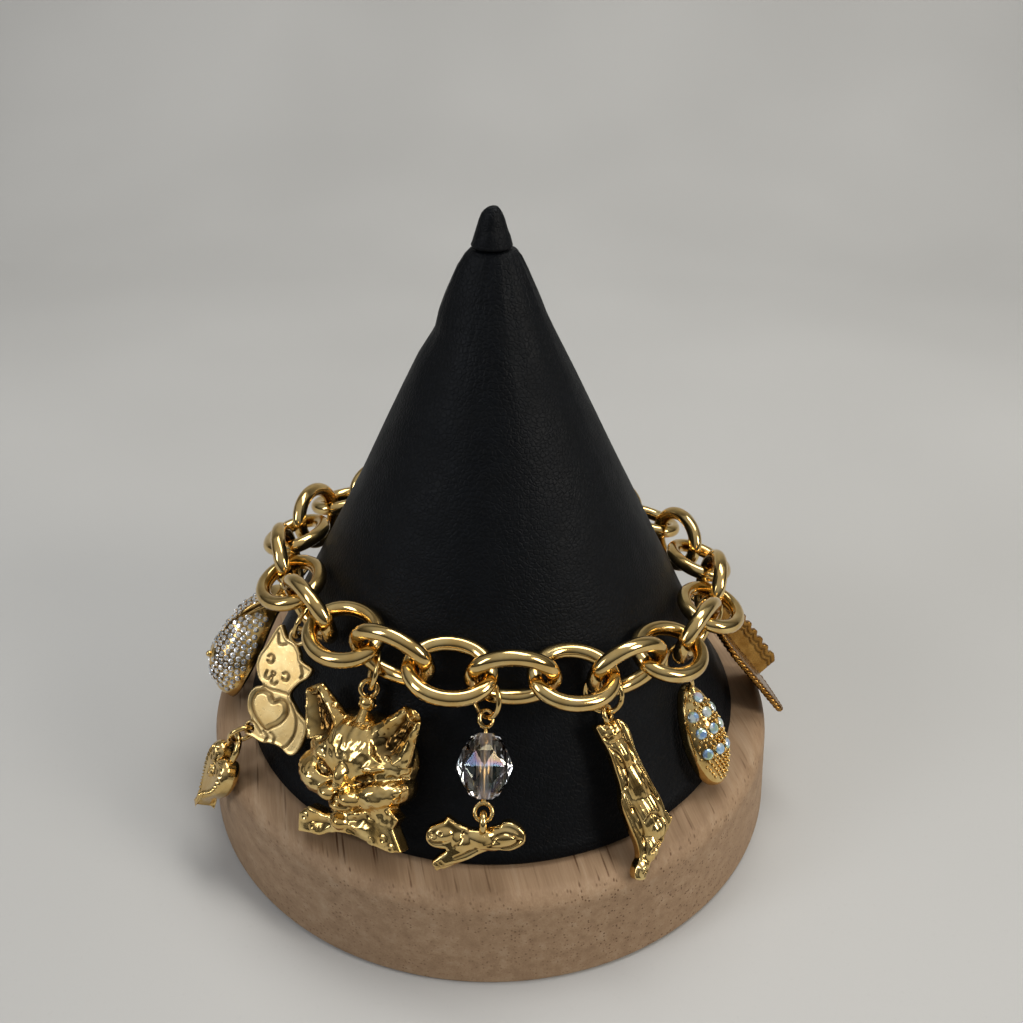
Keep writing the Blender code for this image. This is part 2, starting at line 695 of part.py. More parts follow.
def make_sitting_cat():
    """A flat engraved plate cut as a sitting cat, with a raised heart on its belly."""
    hang, azimuth = hang_ring("sitting_cat_ring", 2, -BAR_ANGLE, -RING_TURN)
    wide = PLATE_WIDTH
    high = PLATE_HEIGHT
    # Outline clockwise from the left ear's tip: x from the loop and z below it,
    # as shares of the plate's width and height.
    outline = (
        (-0.290, 0.045), (-0.140, -0.040), (0.000, -0.058), (0.110, -0.115), (0.164, -0.174),
        (0.355, -0.208), (0.330, -0.290), (0.234, -0.360), (0.156, -0.476), (0.278, -0.553),
        (0.345, -0.589), (0.497, -0.639), (0.544, -0.724), (0.530, -0.840), (0.476, -0.927),
        (0.380, -0.955), (0.240, -0.925), (0.090, -0.929), (-0.042, -0.954), (-0.185, -0.945),
        (-0.296, -0.945), (-0.361, -0.897), (-0.347, -0.842), (-0.300, -0.800), (-0.385, -0.740),
        (-0.433, -0.630), (-0.380, -0.540), (-0.281, -0.494), (-0.369, -0.452), (-0.456, -0.356),
        (-0.455, -0.255), (-0.400, -0.164),
    )
    line = [(x * wide, z * high) for x, z in outline]
    hole_middle = (-0.264 * wide, -0.879 * high)
    hole_radius = RING_WIRE / 2 + CLEARANCE * 1.3
    plate = flat_solid(smooth_outline(line, 2), PLATE_THICKNESS)
    heart = flat_solid(heart_outline(0.50 * wide, 0.31 * high, 16), PLATE_THICKNESS * 0.7)
    heart.transform(Matrix.Translation((-0.085 * wide, -PLATE_THICKNESS * 0.3, -0.675 * high)))
    hole = taper((hole_middle[0], -PLATE_THICKNESS, hole_middle[1]),
                 (hole_middle[0], PLATE_THICKNESS, hole_middle[1]), hole_radius, hole_radius, 1.0, 8)
    body = cut_solid(join_solids([plate, heart]), [hole])
    body = join_solids([body, hanging_loop(-RING_TURN, PLATE_YAW)])
    frame = charm_frame(hang, azimuth, PLATE_YAW, PLATE_ROLL, PLATE_LEAN)
    place_piece("sitting_cat", body, frame, SATIN_GOLD, roughness=0.4)
    return frame @ Vector((hole_middle[0], 0, hole_middle[1])), frame


def heart_outline(wide, high, count):
    """A heart as (x, z) points, centred, with its point down."""
    line = []
    for i in range(count):
        t = 2 * math.pi * i / count
        x = math.sin(t) ** 3
        z = (13 * math.cos(t) - 5 * math.cos(2 * t) - 2 * math.cos(3 * t) - math.cos(4 * t)) / 17
        line.append((x * wide / 2, (z + 0.12) * high / 1.72))
    return line


def make_crystal_drop():
    """A faceted crystal on an eye pin, with a crouching cat hooked below it."""
    hang, azimuth = hang_ring("crystal_ring", 6, -BAR_ANGLE, -RING_TURN)
    frame = charm_frame(hang, azimuth, 0, 0, BEAD_LEAN)
    gap = PIN_GAP
    top = -LOOP_RADIUS - PIN_WIRE / 2 - gap
    sides = 8
    # Columns: height up the bead and radius, as shares of its height and width.
    profile = ((0.0, 0.14), (0.05, 0.24), (0.27, 0.43), (0.42, 0.50), (0.58, 0.50), (0.73, 0.43),
               (0.95, 0.24), (1.0, 0.14))
    sections = []
    for row, (height, radius) in enumerate(profile):
        offset = math.pi / sides if row in (2, 5) else 0.0
        ring = [2 * math.pi * i / sides + offset for i in range(sides)]
        z = top - gap - BEAD_HEIGHT * (1 - height)
        sections.append([(radius * BEAD_WIDTH * math.cos(t), radius * BEAD_WIDTH * math.sin(t), z)
                         for t in ring])
    bead = loft(sections)
    bore = taper((0, 0, top), (0, 0, top - BEAD_HEIGHT - 3 * gap), BEAD_BORE / 2, BEAD_BORE / 2, 1.0, 8)
    bead = cut_solid(bead, [bore])
    crystal = place_piece("crystal_bead", bead, frame, (0.80, 0.83, 0.88), 0.0, 0.03, 0.35)
    crystal.data.shade_flat()

    bottom = top - BEAD_HEIGHT - 2 * gap
    lower = bottom - PIN_WIRE / 2 - EYE_RADIUS
    pin_start = PIN_WIRE * 0.25 - EYE_RADIUS
    pin_end = lower + EYE_RADIUS - PIN_WIRE * 0.25
    pin = taper((0, 0, pin_start), (0, 0, pin_end), PIN_WIRE / 2, PIN_WIRE / 2, 1.0, 7)
    upper_eye = wire_eye(0.0, 90 - RING_TURN, 10)
    lower_eye = wire_eye(lower, 0, 10)
    place_piece("eye_pin", join_solids([pin, upper_eye, lower_eye]), frame, GOLD)
    eye_floor = lower - EYE_RADIUS + PIN_WIRE / 2 + RING_PLAY
    return frame @ Vector((0, 0, eye_floor)), azimuth


def wire_eye(z, turn, count):
    """A ring of pin wire with its middle at a height, turned from facing the front."""
    turns = [math.pi * (2 * i / count + 0.5) for i in range(count)]
    points = [(EYE_RADIUS * math.cos(t), 0, z + EYE_RADIUS * math.sin(t)) for t in turns]
    return moved(wire_loop(points, PIN_WIRE), Matrix.Rotation(math.radians(turn), 4, "Z"))


def make_crouching_cat(eye_floor, azimuth):
    """A small cast cat, crouched to pounce, whose thick loop rests in the pin's lower eye."""
    loop_wire = LOOP_WIRE * 1.3
    slope = cone_frame(azimuth)[2]
    frame = charm_frame(eye_floor - slope * (MOUSER_LOOP_RADIUS - loop_wire / 2), azimuth)
    long = MOUSER_LENGTH
    thick = MOUSER_THICKNESS
    # Columns: x and z from the loop, radii in x, depth and z, and turn about Y,
    # as shares of the length; the depth is a share of the thickness.
    forms = (
        (0.20, -0.130, 0.20, 0.50, 0.120, -4),
        (0.00, -0.170, 0.22, 0.46, 0.095, 16),
        (-0.38, -0.115, 0.130, 0.50, 0.100, -10),
        (-0.47, -0.150, 0.070, 0.42, 0.060, 0),
    )
    # The cat's outline: x and z from the loop, as shares of the length.
    outline = (
        (-0.148, -0.047), (-0.102, -0.066), (0.105, -0.066), (0.148, -0.035), (0.188, 0.008),
        (0.277, 0.020), (0.385, -0.052), (0.416, -0.120), (0.389, -0.200), (0.264, -0.263),
        (0.119, -0.256), (0.052, -0.268), (-0.045, -0.310), (-0.141, -0.362), (-0.314, -0.416),
        (-0.449, -0.449), (-0.489, -0.401), (-0.432, -0.340), (-0.346, -0.268), (-0.443, -0.251),
        (-0.512, -0.222), (-0.552, -0.154), (-0.515, -0.054), (-0.380, 0.009), (-0.342, 0.059),
        (-0.273, 0.012), (-0.225, -0.017),
    )
    slab = flat_solid(smooth_outline([(x * long, z * long) for x, z in outline], 2), thick * 0.5)
    solids = [slab]
    for x, z, rx, ry, rz, turn in forms:
        solids.append(ellipsoid((x * long, 0, z * long), (rx * long, ry * thick, rz * long), (0, turn, 0)))
    for shift in (0.0, 0.07):
        solids.append(taper(((-0.16 + shift) * long, 0, -0.29 * long),
                            ((-0.46 + shift) * long, 0, (-0.47 + shift * 0.3) * long),
                            0.055 * long, 0.032 * long, 0.8, 8))
    casting = cast_together(solids, 0.00022, 660)
    loop = oval(MOUSER_LOOP_RADIUS, MOUSER_LOOP_RADIUS, loop_wire, 10)
    casting = join_solids([casting, moved(loop, Matrix.Rotation(math.pi / 2, 4, "Z"))])
    place_piece("crouching_cat", casting, frame, GOLD)


def make_standing_cat():
    """A slim cast cat stretched upright, its hind foot at the cone's foot."""
    hang, azimuth = hang_ring("standing_cat_ring", 8, -BAR_ANGLE, -RING_TURN)
    frame = charm_frame(hang, azimuth, 0, 0, CLIMBER_LEAN)
    long = CLIMBER_LENGTH
    thick = CLIMBER_THICKNESS
    middle = 0.0003
    # Columns: x and z below the loop, radii in x, depth and z, and turn about Y,
    # as shares of the length; the depth is a share of the thickness.
    forms = (
        (-0.010, -0.120, 0.080, 0.46, 0.076, 20),
        (0.022, -0.270, 0.070, 0.44, 0.150, -8),
        (0.060, -0.480, 0.095, 0.46, 0.200, -10),
        (0.080, -0.690, 0.120, 0.50, 0.190, -8),
        (0.040, -0.880, 0.070, 0.42, 0.110, 14),
        (-0.055, -0.990, 0.045, 0.40, 0.060, 25),
    )
    # The cat's outline: x and z from the loop, as shares of the length.
    outline = (
        (-0.108, -0.050), (-0.094, -0.129), (-0.065, -0.230), (-0.057, -0.350), (-0.053, -0.481),
        (-0.078, -0.575), (-0.064, -0.712), (-0.044, -0.843), (-0.055, -0.924), (-0.100, -0.971),
        (-0.118, -1.035), (-0.058, -1.058), (-0.008, -1.005), (0.045, -0.949), (0.120, -0.906),
        (0.169, -0.852), (0.234, -0.796), (0.255, -0.758), (0.219, -0.744), (0.212, -0.642),
        (0.173, -0.496), (0.145, -0.387), (0.121, -0.267), (0.118, -0.180), (0.102, -0.100),
        (0.060, -0.050), (0.000, -0.055), (-0.060, -0.050),
    )
    slab = flat_solid(smooth_outline([(x * long, z * long) for x, z in outline], 2), thick * 0.5)
    slab.transform(Matrix.Translation((0, middle, 0)))
    solids = [slab]
    for x, z, rx, ry, rz, turn in forms:
        solids.append(ellipsoid((x * long, middle, z * long), (rx * long, ry * thick, rz * long),
                                (0, turn, 0)))
    casting = cast_together(solids, 0.00026, 680)
    casting = join_solids([casting, hanging_loop(-RING_TURN)])
    place_piece("standing_cat", casting, frame, GOLD)


def stone(width):
    """A round brilliant's top: a girdle of eight sides, a sloped crown and a flat table."""
    bm = bmesh.new()
    crown = width * 0.20
    seat = width * 0.22
    bmesh.ops.create_cone(bm, cap_ends=True, segments=8, radius1=width / 2, radius2=width * 0.30,
                          depth=crown)
    bmesh.ops.translate(bm, verts=bm.verts, vec=(0, 0, crown / 2))
    low = [v for v in bm.verts if v.co.z < crown / 2]
    base = [f for f in bm.faces if all(v in low for v in f.verts)]
    made = bmesh.ops.extrude_face_region(bm, geom=base)
    sunk = [g for g in made["geom"] if isinstance(g, bmesh.types.BMVert)]
    bmesh.ops.translate(bm, verts=sunk, vec=(0, 0, -seat))
    bmesh.ops.delete(bm, geom=base, context="FACES_ONLY")
    bmesh.ops.recalc_face_normals(bm, faces=bm.faces)
    mesh = bpy.data.meshes.new("stone")
    bm.to_mesh(mesh)
    bm.free()
    return mesh


def dome_height(share):
    """How far a domed shell stands out at a share of the way to its rim, as a share of depth."""
    return math.sqrt(max(0.0, 1 - share * share)) * 0.985


def make_stone_egg():
    """A domed egg-shaped drop set with round stones, smooth at its rim."""
    hang, azimuth = hang_ring("egg_ring", 10, -BAR_ANGLE, -RING_TURN)
    frame = charm_frame(hang, azimuth, EGG_YAW, EGG_ROLL, EGG_LEAN)
    half_wide = EGG_WIDTH / 2
    half_high = EGG_HEIGHT / 2
    back = 0.0018
    middle = -LOOP_RADIUS - half_high + 0.0002
    line = []
    for i in range(24):
        t = 2 * math.pi * i / 24
        narrow = 1 - 0.14 * math.sin(t)
        line.append((half_wide * narrow * math.cos(t), middle + half_high * math.sin(t)))
    shell = domed_shell(line, (0.0, middle), EGG_DEPTH, EGG_WALL)
    # Rows of stones: z as a share of the half height, and how many stones across.
    rows = ((0.73, 1), (0.44, 3), (0.12, 3), (-0.28, 3))
    stones = []
    for share, count in rows:
        for k in range(count):
            x = (k - (count - 1) / 2) * STONE_SIZE * 1.22
            reach = math.hypot(x / half_wide, share)
            z = middle + share * half_high
            y = -EGG_DEPTH * dome_height(reach)
            normal = Vector((x / half_wide ** 2, y / EGG_DEPTH ** 2, share / half_high)).normalized()
            turn = normal.to_track_quat("Z", "Y").to_matrix().to_4x4()
            stones.append(moved(stone(STONE_SIZE), Matrix.Translation((x, y, z)) @ turn))
    shell = join_solids([shell] + stones)
    shell.transform(Matrix.Translation((0, back, 0)))
    neck = taper((0, 0.0003, -LOOP_RADIUS - 0.0001), (0, back - 0.0011, -LOOP_RADIUS - 0.0022),
                 0.0005, 0.0009, 1.0, 8)
    shell = join_solids([shell, neck, hanging_loop(-RING_TURN, EGG_YAW)])
    place_piece("stone_egg", shell, frame, GOLD)


def fish_outline():
    """The fish's edge as (x, z) points: tail up at the loop, open mouth down."""
    half_wide = FISH_WIDTH / 2
    long = FISH_LENGTH
    # Right half from the tail to the mouth: x as a share of the half width, z of the length.
    side = ((0.30, 0.0), (0.42, 0.05), (0.28, 0.16), (0.42, 0.29), (0.76, 0.45), (1.00, 0.66),
            (0.95, 0.84), (0.66, 0.96), (0.30, 1.00))
    right = [(x * half_wide, -z * long) for x, z in side]
    left = [(-x, z) for x, z in reversed(right)]
    notch = [(0.0, -0.92 * long)]
    return right + notch + left


def make_fish():
    """A domed fish with a hollow back, hung by its tail, its mouth resting on the base."""
    hang, azimuth = hang_ring("fish_ring", 0, -BAR_ANGLE, -RING_TURN)
    line = smooth_outline([(x, z - LOOP_RADIUS) for x, z in fish_outline()], 2)
    shell = domed_shell(line, (0.0, -LOOP_RADIUS - 0.66 * FISH_LENGTH), FISH_DEPTH, FISH_WALL)
    shell.transform(Matrix.Translation((0, 0.0010, 0)))
    fish = join_solids([shell, hanging_loop(-RING_TURN, FISH_YAW)])
    place_piece("fish", fish, charm_frame(hang, azimuth, FISH_YAW, FISH_ROLL, FISH_LEAN), GOLD)


def make_padlock(hole, plate_frame):
    """A heart padlock over the base's edge, on a ring through the sitting cat's paw."""
    azimuth = math.atan2(hole.x, -hole.y) + math.radians(LOCK_SHIFT)
    radial = Vector((math.sin(azimuth), -math.cos(azimuth), 0))
    right = Vector((math.cos(azimuth), math.sin(azimuth), 0))
    up = Vector((0, 0, 1))
    plate_normal = plate_frame.to_3x3() @ Vector((0, 1, 0))
    reach = (radial * 0.75 - right * 0.35 - up * 0.55)
    reach = (reach - plate_normal * reach.dot(plate_normal)).normalized()
    centre = hole + reach * LOCK_RING_RADIUS
    through = Matrix.Rotation(math.radians(LOCK_RING_TILT), 3, reach) @ plate_normal
    ring = oval(LOCK_RING_RADIUS, LOCK_RING_RADIUS, RING_WIRE, RING_POINTS)
    place_piece("padlock_ring", ring, frame_matrix(centre, reach, through), GOLD)

    top = centre + reach * (LOCK_RING_RADIUS - RING_WIRE / 2 - SHACKLE_WIRE / 2 - RING_PLAY)
    face_turn = Matrix.Rotation(math.radians(LOCK_TURN), 3, "Z")
    radial = face_turn @ radial
    right = face_turn @ right
    lean = math.radians(LOCK_LEAN)
    upright = up * math.cos(lean) - radial * math.sin(lean)
    half = LOCK_WIDTH * 0.22
    sink = LOCK_HEIGHT * 0.42
    arch = [(-half, 0, -sink), (-half, 0, -half)]
    for step in range(1, 6):
        turn = math.pi * (1 - step / 6)
        arch.append((half * math.cos(turn), 0, half * (math.sin(turn) - 1)))
    arch += [(half, 0, -half), (half, 0, -sink)]
    shackle = wire_loop(arch, SHACKLE_WIRE, closed=False)
    middle = -LOCK_HEIGHT * 0.76
    thick = LOCK_THICKNESS
    heart = flat_solid(heart_outline(LOCK_WIDTH, LOCK_HEIGHT, 28), thick, thick * 0.28)
    heart.transform(Matrix.Translation((0, 0, middle)))
    boss_height = middle + LOCK_HEIGHT * 0.12
    boss = taper((0, thick * 0.3, boss_height), (0, -thick * 0.62, boss_height),
                 LOCK_WIDTH * 0.13, LOCK_WIDTH * 0.10, 1.0, 10)
    body = join_solids([heart, boss, shackle])
    place_piece("heart_padlock", body, frame_matrix(top, right, upright), GOLD)


def make_plaques():
    """Two flat plaques past the stone egg: one with a rope edge, one with a wavy edge."""
    hang, azimuth = hang_ring("rope_ring", 12, -BAR_ANGLE, -RING_TURN)
    half_wide = PLAQUE_WIDTH / 2
    top = -LOOP_RADIUS - 0.0002
    corner = 0.0022
    outline = []
    corners = ((1, 0, 0), (1, -1, 270), (-1, -1, 180), (-1, 0, 90))
    for sx, sz, start in corners:
        cx = sx * (half_wide - corner)
        cz = top - corner if sz == 0 else top - PLAQUE_HEIGHT + corner
        for step in range(4):
            a = math.radians(start + 90 - step * 30)
            outline.append((cx + corner * math.cos(a), cz + corner * math.sin(a)))
    plaque = flat_solid(outline, PLAQUE_THICKNESS)
    rope = wire_loop([(x, 0, z) for x, z in outline], ROPE_SIZE)
    plaque = join_solids([plaque, rope, hanging_loop(-RING_TURN, PLAQUE_YAW)])
    frame = charm_frame(hang, azimuth, PLAQUE_YAW, 0, PLAQUE_LEAN)
    place_piece("rope_plaque", plaque, frame, DARK_GOLD, roughness=0.35)

    hang, azimuth = hang_ring("wave_ring", 12, BAR_ANGLE, RING_TURN)
    waves = 7
    inner = -WAVE_WIDTH * 0.12
    outer = WAVE_WIDTH * 0.72
    wave_rise = WAVE_WIDTH * 0.06
    outline = [(inner, top), (outer - wave_rise, top)]
    for i in range(waves * 2 + 1):
        z = top - WAVE_HEIGHT * (i + 0.5) / (waves * 2 + 2)
        outline.append((outer + wave_rise * (-1) ** i, z))
    outline += [(outer - wave_rise, top - WAVE_HEIGHT), (inner, top - WAVE_HEIGHT)]
    plaque = join_solids([flat_solid(outline, PLAQUE_THICKNESS), hanging_loop(RING_TURN, WAVE_YAW)])
    frame = charm_frame(hang, azimuth, WAVE_YAW, WAVE_ROLL)
    place_piece("wavy_plaque", plaque, frame, DARK_GOLD, roughness=0.35)


def main():
    make_stand()
    make_chain()
    make_cat_head()
    hole, plate_frame = make_sitting_cat()
    make_padlock(hole, plate_frame)
    make_crouching_cat(*make_crystal_drop())
    make_standing_cat()
    make_stone_egg()
    make_fish()
    make_plaques()
    for helper in list(CUTTERS.objects):
        bpy.data.objects.remove(helper)


main()
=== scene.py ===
# %% [markdown]
# A gold charm bracelet on a leather covered display cone. The measured parts are loaded first
# and never moved. Each is then shown by a finer piece that is built here in the same place:
# smooth links, cast charms with their relief, cut stones, grained leather and bamboo.

import math

import bmesh
import bpy
import numpy as np
from mathutils import Matrix, Vector, noise
from mathutils.bvhtree import BVHTree


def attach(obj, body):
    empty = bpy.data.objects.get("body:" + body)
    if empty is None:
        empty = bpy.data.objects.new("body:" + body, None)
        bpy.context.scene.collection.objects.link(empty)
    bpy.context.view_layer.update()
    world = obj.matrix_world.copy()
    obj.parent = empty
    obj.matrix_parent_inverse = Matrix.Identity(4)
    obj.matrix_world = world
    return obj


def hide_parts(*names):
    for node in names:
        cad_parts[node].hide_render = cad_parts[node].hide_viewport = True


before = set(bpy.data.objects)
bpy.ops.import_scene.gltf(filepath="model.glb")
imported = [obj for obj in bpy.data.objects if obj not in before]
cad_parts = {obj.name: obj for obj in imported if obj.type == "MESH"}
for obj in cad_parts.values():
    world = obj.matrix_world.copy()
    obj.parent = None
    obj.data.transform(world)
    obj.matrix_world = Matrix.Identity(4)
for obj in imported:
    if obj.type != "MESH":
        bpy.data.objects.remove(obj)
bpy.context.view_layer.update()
MM = 0.001
print("measured parts:", len(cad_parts))

# %% [markdown]
# Colours are written as sRGB codes and turned into linear light. One small function adds a
# shader node with its settings, its fixed values and its links.


# %% Small shader tools
def colour(code):
    """Linear colour with full cover from an sRGB code such as #D4AF5F."""
    parts = [int(code[i:i + 2], 16) / 255 for i in (1, 3, 5)]
    linear = [c / 12.92 if c <= 0.04045 else ((c + 0.055) / 1.055) ** 2.4 for c in parts]
    return (*linear, 1.0)


def add(tree, kind, settings=None, inputs=None):
    """Add a node; an input is either a fixed value or another node's output."""
    node = tree.nodes.new(kind)
    for key, value in (settings or {}).items():
        setattr(node, key, value)
    for key, value in (inputs or {}).items():
        if isinstance(value, bpy.types.NodeSocket):
            tree.links.new(value, node.inputs[key])
        else:
            node.inputs[key].default_value = value
    return node


def ramp(tree, factor, stops):
    """A colour ramp through (position, code) stops."""
    node = add(tree, "ShaderNodeValToRGB", inputs={"Fac": factor})
    steps = node.color_ramp.elements
    while len(steps) < len(stops):
        steps.new(0.5)
    for step, (position, code) in zip(steps, stops):
        step.position = position
        step.color = colour(code)
    return node.outputs["Color"]


def span(tree, value, low, high, to_low, to_high):
    """Carry a value from one range into another and clamp it."""
    inputs = {"Value": value, "From Min": low, "From Max": high, "To Min": to_low,
              "To Max": to_high}
    return add(tree, "ShaderNodeMapRange", inputs=inputs).outputs["Result"]


def cloud(tree, vector, size, detail=3.0, rough=0.55):
    """Noise whose lumps are about size millimetres across."""
    node = add(tree, "ShaderNodeTexNoise", inputs={"Vector": vector, "Scale": 1 / (size * MM),
                                                   "Detail": detail, "Roughness": rough})
    return node.outputs["Fac"]


def blend(tree, factor, first, second):
    """Mix two colours."""
    node = add(tree, "ShaderNodeMix", {"data_type": "RGBA", "blend_type": "MIX"})
    for socket, value in ((0, factor), (6, first), (7, second)):
        if isinstance(value, bpy.types.NodeSocket):
            tree.links.new(value, node.inputs[socket])
        else:
            node.inputs[socket].default_value = value
    return node.outputs[2]


def maths(tree, operation, first, second):
    """Two values added, multiplied or otherwise brought together."""
    return add(tree, "ShaderNodeMath", {"operation": operation}, {0: first, 1: second}).outputs[0]


def start_material(name):
    """An empty material, its node tree and its object coordinates."""
    material = bpy.data.materials.new(name)
    material.use_nodes = True
    tree = material.node_tree
    tree.nodes.clear()
    place = add(tree, "ShaderNodeTexCoord").outputs["Object"]
    return material, tree, place


def finish_material(tree, inputs, height=None, bump_mm=0.02):
    """The main shader, with an optional bump from a height value."""
    if height is not None:
        bump = add(tree, "ShaderNodeBump", inputs={"Height": height, "Distance": bump_mm * MM,
                                                   "Strength": 1.0})
        inputs = {**inputs, "Normal": bump.outputs["Normal"]}
    shader = add(tree, "ShaderNodeBsdfPrincipled", inputs=inputs)
    add(tree, "ShaderNodeOutputMaterial", inputs={"Surface": shader.outputs["BSDF"]})


print("shader tools ready")

# %% [markdown]
# The gold is a polished plate over a casting. Its tone drifts a little, its recesses carry a
# painted brown shade, and its polish is not quite even. That shade is stored on each cast mesh.


# %% Metals
def make_gold(name, bright, warm, cavity_shade_colour, polish, ripple):
    """Gold plate: two tones, a painted shade for recesses, a roughness range and a ripple in mm."""
    material, tree, place = start_material(name)
    drift = cloud(tree, place, 2.6)
    grain = cloud(tree, place, 0.30, 4.0, 0.6)
    cavity_shade = add(tree, "ShaderNodeAttribute", {"attribute_name": "cavity_shade"}).outputs["Fac"]
    tone = ramp(tree, drift, ((0.30, warm), (0.72, bright)))
    # Painted shade: a brown is mixed in where the cast relief lies deep.
    tone = blend(tree, cavity_shade, tone, colour(cavity_shade_colour))
    rough = span(tree, grain, 0.3, 0.7, polish[0], polish[1])
    waves = cloud(tree, place, 1.1, 2.0)
    finish_material(tree, {"Base Color": tone, "Metallic": 1.0, "Roughness": rough},
                    waves, ripple)
    return material


# The third colour of each gold is the painted shade for its hollows.
GOLD = make_gold("polished_gold", "#E4C98C", "#D3AE6A", "#5A3D16", (0.08, 0.17), 0.006)
CAST_GOLD = make_gold("cast_gold", "#E6CB8C", "#D2AA62", "#4A3010", (0.10, 0.22), 0.014)
SATIN_GOLD = make_gold("satin_gold", "#DCC28A", "#C9A86C", "#5E4420", (0.26, 0.38), 0.008)
# A darker copy of the gold: painted shade for the two plaques, which hang in shade.
SHADED_GOLD = make_gold("gold_darkened_as_shade", "#B08646", "#865C26", "#2E1C08", (0.18, 0.32), 0.012)
print("metals ready")

# %% [markdown]
# The drop bead is clear glass with a thin oil-like film that turns blue and violet. The small
# stones have a mirror foil behind them, so each facet works as a little tinted mirror.


# %% Glass and foiled stones
def make_crystal():
    """Clear cut glass with a faint coloured film, frosted where it is drilled."""
    material, tree, place = start_material("clear_crystal")
    film = span(tree, cloud(tree, place, 4.0, 1.0), 0.35, 0.65, 230.0, 400.0)
    flat = add(tree, "ShaderNodeVectorMath", {"operation": "MULTIPLY"},
               {0: place, 1: (1.0, 1.0, 0.0)}).outputs[0]
    reach = add(tree, "ShaderNodeVectorMath", {"operation": "LENGTH"}, {0: flat})
    drilled = span(tree, reach.outputs["Value"], 0.64 * MM, 0.72 * MM, 1.0, 0.0)
    tint = blend(tree, drilled, colour("#FFFFFF"), colour("#E9E2F4"))
    rough = span(tree, drilled, 0.0, 1.0, 0.012, 0.42)
    finish_material(tree, {"Base Color": tint, "Roughness": rough, "IOR": 1.50,
                           "Transmission Weight": 1.0, "Thin Film Thickness": film,
                           "Thin Film IOR": 1.42})
    return material


def make_stone(name, tints, metal, rough):
    """A foiled stone: each one takes its own tint, by where it sits."""
    material, tree, place = start_material(name)
    cells = add(tree, "ShaderNodeTexVoronoi", inputs={"Vector": place, "Scale": 1 / (0.9 * MM)})
    pick = add(tree, "ShaderNodeSeparateColor", inputs={"Color": cells.outputs["Color"]})
    tint = ramp(tree, pick.outputs[0], tints)
    finish_material(tree, {"Base Color": tint, "Metallic": metal, "Roughness": rough,
                           "IOR": 1.7, "Coat Weight": 0.6, "Coat Roughness": 0.03})
    return material


CRYSTAL = make_crystal()
CLEAR_STONE = make_stone("clear_stones", ((0.1, "#B9BFC6"), (0.5, "#E9E8E4"), (0.9, "#FFFFFF")),
                         0.72, 0.10)
BLUE_STONE = make_stone("blue_green_stones", ((0.0, "#8FB6F2"), (0.3, "#C3E6F2"), (0.5, "#F2F4F2"),
                                              (0.75, "#C6ECCB"), (1.0, "#D8CCF2")), 0.62, 0.10)
print("glass and stones ready")

# %% [markdown]
# The cone is covered in black grained leather: small cells with fine creases between them.
# The base is laminated bamboo. Its fibres run from the back left to the front right, so they
# draw long lines on the top and small dots where they end at the front.

# %% Leather and bamboo
GRAIN_TURN = math.radians(13.4)
STRIP_MM, LAYER_MM = 6.5, 4.9


def make_leather():
    """Black grained leather."""
    material, tree, place = start_material("black_leather")
    warp = add(tree, "ShaderNodeTexNoise", inputs={"Vector": place, "Scale": 1 / (1.2 * MM)})
    bent = add(tree, "ShaderNodeVectorMath", {"operation": "MULTIPLY_ADD"},
               {0: warp.outputs["Color"], 1: (0.25 * MM,) * 3, 2: place})
    cells = add(tree, "ShaderNodeTexVoronoi", {"feature": "DISTANCE_TO_EDGE"},
                {"Vector": bent.outputs[0], "Scale": 1 / (0.62 * MM)})
    pores = add(tree, "ShaderNodeTexVoronoi", {"feature": "F1"},
                {"Vector": bent.outputs[0], "Scale": 1 / (0.33 * MM)})
    pebble = span(tree, cells.outputs["Distance"], 0.0, 0.22, 0.0, 1.0)
    pore = span(tree, pores.outputs["Distance"], 0.0, 0.5, 0.0, 0.5)
    soft = cloud(tree, place, 6.0, 2.0)
    height = maths(tree, "ADD", pebble, pore)
    tone = ramp(tree, cloud(tree, place, 2.0), ((0.3, "#05070A"), (0.7, "#080B0F")))
    # Painted shade: the creases between the grain cells are made darker.
    tone = blend(tree, span(tree, pebble, 0.0, 0.6, 0.45, 0.0), tone, colour("#030405"))
    rough = span(tree, soft, 0.3, 0.7, 0.46, 0.58)
    finish_material(tree, {"Base Color": tone, "Roughness": rough, "Specular IOR Level": 0.12},
                    height, 0.035)
    return material


